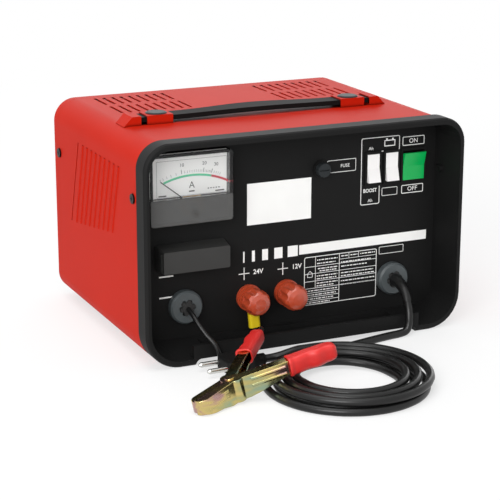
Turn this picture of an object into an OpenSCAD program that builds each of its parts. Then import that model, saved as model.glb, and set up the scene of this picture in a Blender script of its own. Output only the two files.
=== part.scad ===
/* [Case] */
// Width over the front moulding
case_w = 325; // [310:1:345]
// Height from the floor to the top of the front moulding
case_h = 207; // [200:1:220]
// Depth from the front rim to the rear edge of the cover
case_d = 254; // [240:1:300]
// Radius of the upper corners of the front moulding
top_r = 24.5; // [18:0.5:30]
// Radius of the lower corners of the front moulding
foot_r = 34; // [28:1:38]
// Step from the face of the moulding in to the sheet cover
cover_inset = 2.3; // [1.5:0.1:4]
// Radius of the lower corners of the sheet cover
cover_foot_r = 20; // [14:1:26]
// Thickness of the sheet steel
sheet_t = 1.2; // [0.8:0.1:1.6]
// Height of the cover's underside above the floor
ground_gap = 5.8; // [5:0.1:8]

/* [Front moulding] */
// Depth of the rim that shows in front of the cover
rim_d = 20; // [16:0.5:24]
// Width of the rim's front face at the sides
rim_face = 5; // [4:0.25:7]
// Depth of the control recess
recess_d = 38; // [34:0.5:44]
// Wall of the moulding
mould_t = 3; // [2.5:0.1:3.5]
// Height of the notch under the front lip
notch_h = 6; // [5:0.5:7]
// Half width of the notch under the front lip
notch_half = 115; // [105:1:120]
// Height of the top of the lip
lip_top = 19; // [16:0.5:22]
// Thickness of the lip
lip_t = 4; // [3:0.5:6]

/* [Handle] */
// Length of strap between the inner bridges
strap_span = 175.6; // [160:0.2:190]
// Width of the strap at its ends
strap_w = 18.6; // [16:0.2:20]
// Thickness of the strap
strap_t = 4.5; // [3.5:0.1:4.5]
// Rise of the strap at its middle
strap_rise = 1.6; // [0:0.1:12]
// Widening of the strap towards its middle, on each side
strap_swell = 2.8; // [0:0.1:4]
// Height of the pressed bridges
bridge_h = 8.4; // [8.4:0.1:11]
// Depth of the pressed bridges, front to back
bridge_d = 22; // [22:0.5:30]
// Length of an inner bridge
inner_bridge = 25.5; // [24:0.5:30]
// Slot between the two bridges of a side
bridge_slot = 6; // [4:0.25:7]
// Flat top length of an outer bridge
outer_bridge = 9; // [7:0.5:12]
// Diameter of the strap caps
cap_dia = 20; // [16:0.5:21]

/* [Vents] */
// Width of a roof slot
roof_slot_w = 3; // [2:0.1:4]
// Pitch of the roof slots
roof_slot_pitch = 8.9; // [7:0.1:10]
// Slots in each roof bank
roof_slots = 9; // [5:1:9]
// Length of a roof slot
roof_slot_l = 34.5; // [25:0.5:36]
// Louvres in each side of the cover
louvres = 10; // [4:1:10]
// Pitch of the louvres along their tops
louvre_pitch = 12.2; // [10:0.1:12.5]
// Width of a louvre's slot
louvre_w = 2.2; // [1.5:0.1:3]
// Proud height of a louvre's ridge
louvre_ridge = 1; // [0.6:0.1:1.4]

/* [Meter] */
// Width of the meter case
meter_w = 80; // [76:1:84]
// Height of the meter case
meter_h = 65.5; // [62:0.5:70]
// Height of the black lower block of the meter
meter_block_h = 24.5; // [20:0.5:28]
// Depth that the meter stands proud of the panel
meter_proud = 19.5; // [16:0.5:22]
// Length of the needle from its pivot
needle_l = 40; // [34:0.5:40]
// Angle of the resting needle from upright
needle_rest = 52; // [45:1:52]

/* [Switches] */
// Width of the mains rocker
mains_rocker_w = 23; // [20:0.5:24]
// Width of the two narrow rockers
slim_rocker_w = 12.8; // [11:0.2:13.5]
// Height of the rockers
rocker_h = 27; // [25:0.5:28]
// Swing of a rocker from one side to the other
rocker_swing = 16; // [10:1:18]
// Proud height of the switch bezels
bezel_proud = 2; // [1.5:0.1:3]

/* [Terminals] */
// Radius of the terminal studs
stud_r = 3; // [2.5:0.25:3.5]
// Radius over the lobes of the terminal knobs
knob_r = 12.4; // [11:0.1:13]
// Lobes on a terminal knob
knob_lobes = 7; // [5:1:9]
// Radius of the collar at the panel
collar_r = 12.5; // [11.5:0.1:14]
// Distance that the knobs reach in front of the panel
knob_reach = 28; // [26:0.5:30]

/* [Cable glands] */
// Radius of the gland flanges
gland_r = 15.8; // [14:0.1:17]
// Proud height of the gland flanges
gland_proud = 8; // [6:0.5:9]
// Diameter of the mains cord
mains_dia = 7.5; // [6:0.1:8]
// Diameter of the battery leads
lead_dia = 4.4; // [3.6:0.1:5]

/* [Fuses] */
// Radius of the fuse cap
fuse_cap_r = 6.5; // [6:0.1:7.5]
// Width of the strip fuse cover at its face
fuse_box_w = 65; // [60:1:70]
// Height of the strip fuse cover at its face
fuse_box_h = 20.5; // [18:0.5:24]
// Depth of the strip fuse cover
fuse_box_d = 18; // [14:0.5:22]

/* [Clamps] */
// Length of a clamp's jaws from the pin to the nose
jaw_l = 43; // [38:1:48]
// Length of a clamp's handles from the pin
handle_l = 94; // [86:1:100]
// Height of a clamp's channel arms
arm_h = 13; // [12:0.5:15]
// Depth that the arms reach below their handles at the pin
knuckle_dip = 7.4; // [4:0.1:7.4]
// Sheet thickness of the clamp arms
arm_t = 1.2; // [1:0.1:1.6]
// Half angle between the handles
handle_half = 27; // [24:0.5:28]
// Radius of the clamp pin
pin_r = 2.5; // [2:0.1:3]
// Wall of the soft grips
grip_t = 1.8; // [1.4:0.1:2.2]

/* [Mains cord coil] */
// Radius of the innermost turn
coil_inner_r = 46; // [42:0.5:50]
// Radial step of a turn
coil_pitch = 10.6; // [9:0.1:11.5]
// Turns that spiral in, and again out
coil_turns = 3; // [2:1:3]

/* [Hidden] */
$fn = 48;

// Small distances
cut = 0.5;              // how far a cutter runs past a face
fit_gap = 0.3;          // between loose pieces that only lie on each other
slip = 0.05;            // radial clearance of a pin or shaft in its hole

// Depths are counted back from the rim's front plane
front_y = -case_d / 2;
rear_y = case_d / 2;
panel_y = front_y + recess_d;
panel_back_y = panel_y + mould_t;
cover_front_y = front_y + rim_d;
skirt_l = 17.5;

// Outline of the cover
cover_w = case_w - 2 * cover_inset;
cover_top = case_h - cover_inset;
cover_r = top_r - cover_inset;
flange_w = 35;
inner_gap = 0.2;
inner_inset = sheet_t + inner_gap;
inner_w = cover_w - 2 * inner_inset;
inner_top = cover_top - inner_inset;
inner_bottom = ground_gap + inner_inset;

// Recess of the moulding: at the mouth, and at the panel
mouth_w = case_w - 2 * rim_face;
mouth_top = case_h - 6;
mouth_bottom = 6;
mouth_r = top_r - rim_face;
panel_w = mouth_w - 10;
panel_top = mouth_top - 4;
panel_bottom = 14.4;
panel_r = 11;
panel_foot_r = panel_r + 5;
trough_z = notch_h + 2.4;
trough_half = notch_half - 15;

// Side screws
screw_z = 153;
front_screw_y = front_y + 34;
rear_screw_y = rear_y - 15;
screw_r = 2;
screw_head_r = 4.6;
screw_head_h = 1.6;

// Handle
bridge_x0 = strap_span / 2;
bridge_x1 = bridge_x0 + inner_bridge;
bridge_x2 = bridge_x1 + bridge_slot;
bridge_x3 = bridge_x2 + outer_bridge;
bridge_bevel = 8;
handle_x = -8;
handle_y = front_y + 107;
strap_foot = 2.6;
cap_x = bridge_x0 + 12.7;
cap_h = 1.3;
cap_stem_r = 3;

// Places on the panel
meter_x = 42.8 - panel_w / 2;
meter_z = panel_top - 36.25;
meter_pivot_x = meter_x + 2.7;
meter_pivot_z = meter_z - 17;
meter_barrel_r = 27;
fuse_x = 29;
fuse_z = panel_top - 36;
fuse_tube_r = 6.9;
fuse_tube_l = 38;
fuse_bore_r = 4.2;
strip_x = meter_x + 5.2;
strip_z = 93;
mains_switch_x = panel_w / 2 - 24.7;
boost_switch_x = panel_w / 2 - 68.5;
start_switch_x = panel_w / 2 - 48.5;
switch_z = panel_top - 41.2;
rocker_pivot_y = panel_y + 2;
terminal_z = 45.2;
terminal_24_x = -45.5;
terminal_12_x = -6.5;
negative_gland_x = 42 - panel_w / 2;
mains_gland_x = panel_w / 2 - 45.9;
gland_z = 45.5;
gland_floor = 5;

// ---------------------------------------------------------------- helpers

// A plate along Y between two depths, drawn in X and Z
module slab(y0, y1) {
    translate([0, y1, 0]) rotate([90, 0, 0]) linear_extrude(y1 - y0) children();
}

// A rod along Y
module rod_y(x, z, r, y0, y1) {
    translate([x, y1, z]) rotate([90, 0, 0]) cylinder(r = r, h = y1 - y0);
}

// A rod along X
module rod_x(y, z, r, x0, x1) {
    translate([x0, y, z]) rotate([0, 90, 0]) cylinder(r = r, h = x1 - x0);
}

// A round rectangle about a centre
module pill(w, h, r) {
    union() {
        square([w - 2 * r, h], center = true);
        square([w, h - 2 * r], center = true);
        for (sx = [-1, 1], sz = [-1, 1])
            translate([sx * (w / 2 - r), sz * (h / 2 - r)]) circle(r = r);
    }
}

// Outline of the case with its own radii above and below
module case_outline(w, z0, z1, rt, rb) {
    half = w / 2;
    union() {
        for (s = [-1, 1]) {
            translate([s * (half - rt), z1 - rt]) circle(r = rt);
            translate([s * (half - rb), z0 + rb]) circle(r = rb);
        }
        polygon([
            [-half, z0 + rb], [rb - half, z0], [half - rb, z0], [half, z0 + rb],
            [half, z1 - rt], [half - rt, z1], [rt - half, z1], [-half, z1 - rt]
        ]);
    }
}

// Outline of the moulding, drawn in by a distance
module rim_outline(inset) {
    case_outline(case_w - 2 * inset, inset, case_h - inset, top_r - inset, foot_r - inset);
}

// Outline inside the cover, drawn in by a distance
module inner_outline(inset) {
    case_outline(
        inner_w - 2 * inset, inner_bottom + inset, inner_top - inset,
        cover_r - inner_inset - inset, cover_foot_r - inner_inset - inset
    );
}

// ---------------------------------------------------------------- tubes

function unit(v) = v / norm(v);
function ahead(points, i) =
    unit(points[min(i + 1, len(points) - 1)] - points[max(i - 1, 0)]);
// A side direction for each ring, carried along without twist
function carried(points, first) = [
    for (
        i = 0, side = unit(first - (first * ahead(points, 0)) * ahead(points, 0));
        i < len(points);
        i = i + 1,
        side = i < len(points)
            ? unit(side - (side * ahead(points, i)) * ahead(points, i)) : side
    ) side
];
function ring_points(centre, side, along, r, sides) = [
    for (k = [0:sides - 1])
        centre + r * (cos(360 * k / sides) * side + sin(360 * k / sides) * cross(along, side))
];

// One closed tube through a list of points
module tube(points, r, sides, first = [0, 0, 1]) {
    n = len(points);
    side = carried(points, first);
    rings = [for (i = [0:n - 1]) each ring_points(points[i], side[i], ahead(points, i), r, sides)];
    walls = [
        for (i = [0:n - 2], k = [0:sides - 1])
            let (a = i * sides + k, b = i * sides + (k + 1) % sides)
            each [[a, b, b + sides], [a, b + sides, a + sides]]
    ];
    start = [for (k = [1:sides - 2]) [0, k + 1, k]];
    last = (n - 1) * sides;
    finish = [for (k = [1:sides - 2]) [last, last + k, last + k + 1]];
    polyhedron(points = rings, faces = [for (f = concat(walls, start, finish)) [f[2], f[1], f[0]]]);
}

// ---------------------------------------------------------------- case

// Control recess with its draft
module recess_shape(grow) {
    hull() {
        slab(front_y - cut, front_y - cut + 0.1)
            case_outline(mouth_w + 2 * grow, mouth_bottom - grow, mouth_top + grow, mouth_r + grow,
                foot_r - rim_face + grow, $fn = 32);
        slab(panel_y + grow - 0.1, panel_y + grow)
            case_outline(panel_w + 2 * grow, panel_bottom - grow, panel_top + grow, panel_r + grow,
                panel_foot_r + grow, $fn = 32);
    }
}

// Rounded front edge of the rim
module rim_nose() {
    hull() {
        slab(front_y, front_y + 0.1) rim_outline(2.4, $fn = 32);
        slab(front_y + 0.8, front_y + 0.9) rim_outline(0.9, $fn = 32);
        slab(front_y + 2.9, front_y + 3) rim_outline(0, $fn = 32);
    }
}

// Long notch with curved ends under the lip
module notch() {
    slab(front_y - cut, panel_back_y + cut) {
        translate([-notch_half + notch_h, -1]) square([2 * (notch_half - notch_h), notch_h + 1]);
        intersection() {
            translate([-notch_half, -1]) square([2 * notch_half, notch_h + 1]);
            union()
                for (s = [-1, 1])
                    translate([s * (notch_half - notch_h), 0]) circle(r = notch_h);
        }
    }
}

module panel_holes() {
    through = [panel_y - cut, panel_back_y + cut];
    rod_y(meter_x, meter_z, meter_barrel_r + fit_gap, through[0], through[1]);
    rod_y(fuse_x, fuse_z, fuse_tube_r + slip, through[0], through[1]);
    for (x = [negative_gland_x, mains_gland_x])
        rod_y(x, gland_z, gland_r - 4 + slip, through[0], through[1]);
    for (x = [terminal_24_x, terminal_12_x])
        rod_y(x, terminal_z, stud_r + 2 + slip, through[0], through[1]);
    for (s = [-1, 1])
        rod_y(strip_x + s * 21, strip_z, 2.5 + slip, through[0], through[1]);
    slab(through[0], through[1]) {
        translate([mains_switch_x, switch_z])
            square([switch_body_w(mains_rocker_w), body_h], center = true);
        for (x = [boost_switch_x, start_switch_x])
            translate([x, switch_z])
                square([switch_body_w(slim_rocker_w), body_h], center = true);
    }
}

module front_panel() color("#242424") {
    difference() {
        union() {
            difference() {
                union() {
                    rim_nose();
                    slab(front_y + 2.9, front_y + rim_d) rim_outline(0);
                }
                slab(front_y + mould_t, front_y + rim_d - mould_t) rim_outline(mould_t);
                slab(front_y + rim_d - mould_t - cut, front_y + rim_d + cut)
                    inner_outline(mould_t);
            }
            difference() {
                slab(cover_front_y - mould_t, cover_front_y + skirt_l) inner_outline(0);
                slab(cover_front_y - mould_t - cut, cover_front_y + skirt_l + cut)
                    inner_outline(mould_t);
            }
            intersection() {
                recess_shape(mould_t);
                slab(front_y + 0.6, panel_back_y) rim_outline(1);
            }
        }
        recess_shape(0);
        // Level trough behind the lip
        slab(front_y + lip_t, panel_y - lip_t)
            translate([-trough_half, trough_z]) square([2 * trough_half, panel_bottom - trough_z + 1]);
        notch();
        panel_holes();
        for (s = [-1, 1])
            rod_x(front_screw_y, screw_z, screw_r + slip, s > 0 ? panel_w / 2 : -case_w / 2,
                s > 0 ? case_w / 2 : -panel_w / 2);
    }
    // Lip between the feet, and the floor behind it
    slab(front_y, front_y + lip_t)
        translate([-notch_half - 2, notch_h]) square([2 * notch_half + 4, lip_top - notch_h]);
    slab(front_y + lip_t, panel_y)
        translate([-notch_half - 2, notch_h]) square([2 * notch_half + 4, trough_z - notch_h]);
    // Screw bosses that show inside the recess
    for (s = [-1, 1])
        difference() {
            rod_x(front_screw_y - 6, screw_z - 1, 3.4, s > 0 ? panel_w / 2 - 2.2 : -panel_w / 2 - 2,
                s > 0 ? panel_w / 2 + 2 : -panel_w / 2 + 2.2);
            rod_x(front_screw_y - 6, screw_z - 1, 1.4, s > 0 ? panel_w / 2 - 3 : -panel_w / 2 + 1,
                s > 0 ? panel_w / 2 - 1 : -panel_w / 2 + 3);
        }
}

// One louvre: its slot runs from a top point to a bottom point
louvre_top_z = cover_top - cover_r - 8;
louvre_top_y = rear_y - 73;
louvre_foot_y = rear_y - 47;
louvre_foot_pitch = louvre_pitch + 0.6;
louvre_foot_z = louvre_top_z - 83.5;
louvre_rise = 1.93;
function louvre_top(i) = [louvre_top_y - i * louvre_pitch, louvre_top_z];
function louvre_foot(i) = [louvre_foot_y - i * louvre_foot_pitch, louvre_foot_z + i * louvre_rise];

module louvre_slot(i) {
    a = louvre_foot(i);
    b = louvre_top(i);
    tilt = atan2(a[0] - b[0], b[1] - a[1]);
    translate([0, a[0], a[1]]) rotate([tilt, 0, 0])
        translate([-cover_w / 2 - cut, -louvre_w / 2, 0]) cube([cover_w + 2 * cut, louvre_w, norm(b - a)]);
}

module louvre_ridge_bar(i, s) {
    a = louvre_foot(i);
    b = louvre_top(i);
    tilt = atan2(a[0] - b[0], b[1] - a[1]);
    r = louvre_w / 2 + 0.4;
    translate([s * (cover_w / 2 + louvre_ridge - r), a[0] - louvre_w / 2 - r + 0.4, a[1]])
        rotate([tilt, 0, 0]) cylinder(r = r, h = norm(b - a), $fn = 24);
}

// Upper outline of a bridge block, drawn in X and Z
module bridge_outline(x0, x1, bevel, t) {
    sunk = sheet_t - 0.1;
    translate([0, cover_top - sunk])
        polygon([
            [x0 + t, 0], [x0 + t, bridge_h + sunk - t], [x1 - t * 0.8, bridge_h + sunk - t],
            [x1 + bevel - t * 1.4, sunk], [x1 + bevel - t * 1.4, 0]
        ]);
}

module bridges() {
    translate([handle_x, handle_y, 0]) for (s = [0, 1]) mirror([s, 0, 0]) {
        difference() {
            union() {
                slab(-bridge_d / 2, bridge_d / 2) bridge_outline(bridge_x0, bridge_x1, 0, 0);
                slab(-bridge_d / 2, bridge_d / 2)
                    bridge_outline(bridge_x2, bridge_x3, bridge_bevel, 0);
            }
            slab(sheet_t - bridge_d / 2, bridge_d / 2 - sheet_t)
                translate([bridge_x0 - 1, cover_top])
                    square([inner_bridge + 2, bridge_h - sheet_t]);
            slab(sheet_t - bridge_d / 2, bridge_d / 2 - sheet_t) intersection() {
                bridge_outline(bridge_x2 - 2, bridge_x3, bridge_bevel, sheet_t);
                translate([bridge_x2 - 2, cover_top]) square([bridge_bevel + outer_bridge + 4, bridge_h]);
            }
            translate([cap_x, 0, cover_top]) cylinder(r = cap_stem_r + slip, h = bridge_h + cut);
        }
    }
}

module roof_slot_bank() {
    for (i = [0:roof_slots - 1], y = [rear_y - 50, rear_y - 95], s = [-1, 1])
        translate([s * (51 + i * roof_slot_pitch) - roof_slot_w / 2, y, cover_top - sheet_t - cut])
            cube([roof_slot_w, roof_slot_l, sheet_t + 2 * cut]);
}

module cover() color("#CF2E1B") {
    difference() {
        union() {
            difference() {
                slab(cover_front_y, rear_y)
                    case_outline(cover_w, ground_gap, cover_top, cover_r, cover_foot_r);
                slab(cover_front_y - cut, rear_y + cut)
                    case_outline(cover_w - 2 * sheet_t, ground_gap + sheet_t, cover_top - sheet_t,
                        cover_r - sheet_t, cover_foot_r - sheet_t);
                slab(cover_front_y - cut, rear_y + cut)
                    translate([flange_w - cover_w / 2, ground_gap - cut])
                        square([cover_w - 2 * flange_w, sheet_t + 2 * cut]);
            }
            for (i = [0:louvres - 2], s = [-1, 1]) louvre_ridge_bar(i + 1, s);
        }
        for (i = [0:louvres - 1]) louvre_slot(i);
        roof_slot_bank();
        for (y = [front_screw_y, rear_screw_y])
            rod_x(y, screw_z, screw_r + slip, -cover_w / 2 - cut, cover_w / 2 + cut);
        foot_holes(ground_gap - cut, ground_gap + sheet_t + cut);
    }
    bridges();
}

module foot_holes(z0, z1) {
    for (s = [-1, 1])
        translate([s * foot_x, foot_y, z0]) cylinder(r = foot_stem_r + slip, h = z1 - z0);
}

foot_x = inner_w / 2 - 28;
foot_y = rear_y - 26;
foot_stem_r = 3;

module base_tray() color("#A9ABA8") {
    tray_y0 = panel_back_y + 4;
    tray_y1 = rear_y - 19;
    tray_half = cover_w / 2 - cover_foot_r - 0.5;
    z0 = ground_gap + sheet_t;
    difference() {
        union() {
            translate([-tray_half, tray_y0, z0]) cube([2 * tray_half, tray_y1 - tray_y0, sheet_t]);
            for (y = [tray_y0, tray_y1 - sheet_t])
                translate([-tray_half, y, z0]) cube([2 * tray_half, sheet_t, 10]);
        }
        foot_holes(z0 - cut, z0 + sheet_t + cut);
        for (i = [-4:4], j = [0, 1])
            translate([i * 12 - 2, -30 + j * 50, z0 - cut]) cube([4, 34, sheet_t + 2 * cut]);
    }
}

module rear_panel() color("#CF2E1B") {
    y1 = rear_y - 1.5;
    y0 = y1 - sheet_t;
    difference() {
        union() {
            slab(y0, y1) inner_outline(0);
            difference() {
                slab(y0 - 18, y0 + 0.1) inner_outline(0);
                slab(y0 - 18 - cut, y0 + 0.2) inner_outline(sheet_t);
                slab(y0 - 18 - cut, y0)
                    translate([-inner_w / 2 - 1, 0]) square([inner_w + 2, 60]);
            }
        }
        for (i = [0:13], j = [0, 1])
            translate([-78 + i * 12 - 1.5, y0 - cut, 60 + j * 56]) cube([3, sheet_t + 2 * cut, 44]);
        rod_x(rear_screw_y, screw_z, screw_r + slip, -inner_w / 2 - cut, inner_w / 2 + cut);
    }
}

module rear_feet() color("#1B1B1B") {
    for (s = [-1, 1]) translate([s * foot_x, foot_y, 0]) {
        cylinder(r1 = 9, r2 = 10, h = ground_gap);
        cylinder(r = foot_stem_r, h = ground_gap + 2 * sheet_t + 1);
        translate([0, 0, ground_gap + 2 * sheet_t + 0.1]) cylinder(r = 4.2, h = 2);
    }
}

module cover_screw() {
    difference() {
        union() {
            cylinder(r = screw_head_r, h = screw_head_h);
            translate([0, 0, -6.5]) cylinder(r = screw_r, h = 6.6);
        }
        for (a = [0, 90]) rotate(a)
            translate([-2.4, -0.5, screw_head_h - 0.9]) cube([4.8, 1, 2]);
    }
}

module cover_screws() color("#1D1D1D") {
    for (y = [front_screw_y, rear_screw_y]) {
        translate([cover_w / 2, y, screw_z]) rotate([0, 90, 0]) cover_screw();
        translate([-cover_w / 2, y, screw_z]) rotate([0, -90, 0]) cover_screw();
    }
}

// ---------------------------------------------------------------- handle

strap_z = cover_top + strap_foot;
strap_half = bridge_x2 - 0.6;
swell_half = bridge_x0 - 16;
function strap_lift(x) =
    abs(x) > bridge_x0 - 6 ? 0 : strap_rise * (1 + cos(180 * x / (bridge_x0 - 6))) / 2;
function strap_edge(x) =
    strap_w / 2 + (abs(x) > swell_half ? 0 : strap_swell * (1 + cos(180 * x / swell_half)) / 2);

module handle_strap() color("#161616") {
    steps = 32;
    xs = [for (i = [0:steps]) -bridge_x0 + 6 + i * (2 * bridge_x0 - 12) / steps];
    ends = concat([-strap_half], xs, [strap_half]);
    n = len(ends) - 1;
    translate([handle_x, handle_y, 0]) difference() {
        intersection() {
            slab(-strap_w, strap_w) polygon(concat(
                [for (x = ends) [x, strap_z + strap_lift(x)]],
                [for (i = [n:-1:0]) [ends[i], strap_z + strap_t + strap_lift(ends[i])]]
            ));
            translate([0, 0, cover_top]) linear_extrude(bridge_h + strap_rise + 10) polygon(concat(
                [for (x = ends) [x, -strap_edge(x)]],
                [for (i = [n:-1:0]) [ends[i], strap_edge(ends[i])]]
            ));
        }
        for (s = [-1, 1])
            translate([s * cap_x, 0, cover_top]) cylinder(r = cap_stem_r + 0.2, h = 20);
    }
}

// Snap caps: each holds the strap by its stem, and the strap lies on the collar
module handle_caps() color("#202224") {
    for (s = [-1, 1]) translate([handle_x + s * cap_x, handle_y, cover_top + bridge_h]) {
        cylinder(r = cap_dia / 2, h = cap_h - 0.7);
        translate([0, 0, cap_h - 0.71]) cylinder(r1 = cap_dia / 2, r2 = cap_dia / 2 - 1.4, h = 0.71);
        translate([0, 0, -bridge_h]) cylinder(r = cap_stem_r, h = bridge_h + 0.1);
        translate([0, 0, -bridge_h]) cylinder(r = cap_stem_r + 3, h = strap_foot);
    }
}

// ---------------------------------------------------------------- meter

meter_front_y = panel_y - meter_proud;
meter_split_y = panel_y - 11.5;
dial_t = 1;
needle_y = meter_split_y - dial_t - 3;
meter_wall = 3;
meter_z0 = meter_z - meter_h / 2;
meter_z1 = meter_z + meter_h / 2;
meter_sill = meter_z0 + meter_block_h;
movement_r = 12;
adjuster_r = 3;

module meter_case() color("#1F1F1F") {
    difference() {
        union() {
            slab(meter_split_y, panel_y)
                translate([meter_x, meter_z]) pill(meter_w, meter_h, 3);
            rod_y(meter_x, meter_z, meter_barrel_r, panel_y - 1, panel_back_y + 24);
        }
        rod_y(meter_pivot_x, meter_pivot_z, movement_r + fit_gap, meter_split_y - cut, panel_y - 0.5);
    }
}

// Hollow front moulding of the meter between two heights
module meter_shell(z0, z1) {
    difference() {
        slab(meter_front_y, meter_split_y) intersection() {
            translate([meter_x, meter_z]) pill(meter_w, meter_h, 3);
            translate([meter_x - meter_w / 2, z0]) square([meter_w, z1 - z0]);
        }
        slab(meter_front_y + 2, meter_split_y + cut)
            translate([meter_x, meter_z])
                square([meter_w - 2 * meter_wall, meter_h - 2 * meter_wall], center = true);
    }
}

module meter_cover() color("#DDE6E8", 0.35) meter_shell(meter_sill, meter_z1);

// Smoked lower half of the front, with the zero adjuster
module meter_apron() color("#3C3C3C", 0.8) {
    meter_shell(meter_z0, meter_sill);
    difference() {
        rod_y(meter_pivot_x, meter_pivot_z - 6.5, adjuster_r, meter_front_y - 0.8, meter_front_y + 0.1);
        translate([meter_pivot_x, meter_front_y - 0.6, meter_pivot_z - 6.5]) rotate([0, 25, 0])
            cube([1.6 * adjuster_r, 1, 0.8], center = true);
    }
}

module meter_dial() color("#F4F4F2") {
    slab(meter_split_y - dial_t, meter_split_y)
        translate([meter_x - meter_w / 2 + meter_wall + 0.3, meter_sill + 0.2])
            square([meter_w - 2 * meter_wall - 0.6, meter_z1 - meter_wall - 0.5 - meter_sill]);
}

module meter_needle() color("#1A1A1A") {
    translate([meter_pivot_x, needle_y, meter_pivot_z]) rotate([0, -needle_rest, 0]) {
        difference() {
            union() {
                translate([-0.45, -0.25, 0]) cube([0.9, 0.5, needle_l]);
                translate([-0.9, -0.25, -9]) cube([1.8, 0.5, 9]);
                rotate([-90, 0, 0]) translate([0, 0, -0.8]) cylinder(r = 2.6, h = 1.9);
            }
            rotate([-90, 0, 0]) translate([0, 0, -1.5]) cylinder(r = 0.8 + slip, h = 4);
        }
    }
}

// Movement in its bore, with the bridge and the pin that carries the needle
module meter_movement() color("#B8904A") {
    translate([meter_pivot_x, meter_split_y, meter_pivot_z]) rotate([-90, 0, 0]) {
        cylinder(r = movement_r, h = panel_y - 0.6 - meter_split_y);
        translate([0, 0, -1.6]) linear_extrude(1.2) pill(15, 6, 2.9);
        for (s = [-1, 1]) translate([s * 5.4, 0, -1.6]) cylinder(r = 1.5, h = 1.7);
        translate([0, 0, -5.2]) cylinder(r = 0.8, h = 5.3);
    }
}

// ---------------------------------------------------------------- fuses

// Drafted box of the strip fuse cover
module fuse_box_shape(inset) {
    hull() {
        slab(panel_y - fuse_box_d + inset, panel_y - fuse_box_d + inset + 0.1)
            translate([strip_x, strip_z])
                pill(fuse_box_w - 2 * inset, fuse_box_h - 2 * inset, 1.5, $fn = 24);
        slab(panel_y - 0.1 + (inset > 0 ? cut : 0), panel_y + (inset > 0 ? cut : 0))
            translate([strip_x, strip_z + 1])
                pill(fuse_box_w + 4 - 2 * inset, fuse_box_h + 3 - 2 * inset, 2, $fn = 24);
    }
}

module fuse_cover() color("#3B3B3A") {
    difference() {
        fuse_box_shape(0);
        fuse_box_shape(2);
    }
    // Grip ribs on the two ends
    for (s = [-1, 1], k = [0:2])
        translate([strip_x + s * (fuse_box_w / 2 + 0.2), panel_y - 14 + k * 4, strip_z])
            cube([1.6, 1.4, fuse_box_h - 5], center = true);
}

module fuse_block() color("#2A2420") {
    difference() {
        slab(panel_y - 8, panel_y) translate([strip_x, strip_z]) pill(56, 13, 2);
        slab(panel_y - 8 - cut, panel_y - 5) translate([strip_x, strip_z]) square([22, 20], center = true);
    }
    for (s = [-1, 1]) {
        rod_y(strip_x + s * 21, strip_z, 2.5, panel_y - 0.1, panel_back_y + 8);
        rod_y(strip_x + s * 21, strip_z, 2.2, panel_y - 12.5, panel_y - 7.9);
    }
}

module fuse_strip() color("#C8C4B0") {
    slab(panel_y - 9, panel_y - 8)
        difference() {
            translate([strip_x, strip_z]) union() {
                square([54, 10], center = true);
            }
            for (s = [-1, 1]) {
                translate([strip_x + s * 21, strip_z]) circle(r = 2.2 + slip);
                translate([strip_x, strip_z + s * 7]) circle(r = 5);
            }
        }
    for (s = [-1, 1])
        difference() {
            rod_y(strip_x + s * 21, strip_z, 4.6, panel_y - 11.6, panel_y - 9);
            rod_y(strip_x + s * 21, strip_z, 2.2 + slip, panel_y - 12, panel_y - 8.5);
        }
}

module fuse_holder() color("#202020") {
    difference() {
        union() {
            rod_y(fuse_x, fuse_z, fuse_tube_r, panel_y - 0.1, panel_y + fuse_tube_l);
            rod_y(fuse_x, fuse_z, fuse_cap_r + 2, panel_y - 1.5, panel_y);
            slab(panel_back_y, panel_back_y + 3) translate([fuse_x, fuse_z]) circle(r = 10, $fn = 6);
        }
        rod_y(fuse_x, fuse_z, fuse_bore_r, panel_y - 2, panel_y + fuse_tube_l - 2);
    }
}

module fuse_cap() color("#26282A") {
    difference() {
        union() {
            rod_y(fuse_x, fuse_z, fuse_cap_r, panel_y - 8, panel_y - 1.5 - fit_gap);
            rod_y(fuse_x, fuse_z, fuse_bore_r - 0.08, panel_y - 3, panel_y + 7);
            for (k = [0:11])
                translate([fuse_x, panel_y - 2.2, fuse_z]) rotate([90, 30 * k, 0])
                    translate([fuse_cap_r - 0.1, -0.5, 0]) cube([0.6, 1, 5]);
        }
        translate([fuse_x - 5, panel_y - 8.5, fuse_z - 0.6]) cube([10, 2, 1.2]);
    }
}

module mains_fuse() color("#D8D8C8") {
    y0 = panel_y + 7 + 0.2;
    y1 = panel_y + fuse_tube_l - 2;
    rod_y(fuse_x, fuse_z, fuse_bore_r - 0.25, y0, y0 + 6);
    rod_y(fuse_x, fuse_z, fuse_bore_r - 0.6, y0 + 5.9, y1 - 5.9);
    rod_y(fuse_x, fuse_z, fuse_bore_r - 0.25, y1 - 6, y1);
}

// ---------------------------------------------------------------- switches

rocker_tip = 5.9;
rocker_ridge = 4;
rocker_side_gap = 0.35;
function switch_body_w(w) = w + 2 * rocker_side_gap + 2.4;
rocker_lean = rocker_swing / 2;
rocker_reach = rocker_h / 2 * cos(rocker_lean) + rocker_tip * sin(rocker_lean) + 0.3;
body_h = 2 * rocker_reach + 2.2;

// Side view of a rocker in its middle place: Y forward is negative
module rocker_side() {
    half = rocker_h / 2;
    polygon([
        [-rocker_ridge, 0], [-rocker_tip, half], [-rocker_tip + 1.6, half + 0.1],
        [3, half - 3], [3, 3 - half], [-rocker_tip + 1.6, -half - 0.1], [-rocker_tip, -half]
    ]);
}

module rocker(x, w, lean) {
    translate([x, rocker_pivot_y, switch_z]) rotate([lean, 0, 0]) {
        rotate([90, 0, 90]) translate([0, 0, -w / 2]) linear_extrude(w) rocker_side();
        rotate([0, 90, 0]) translate([0, 0, -w / 2 - 1.2]) cylinder(r = 1.5, h = w + 2.4);
    }
}

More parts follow.
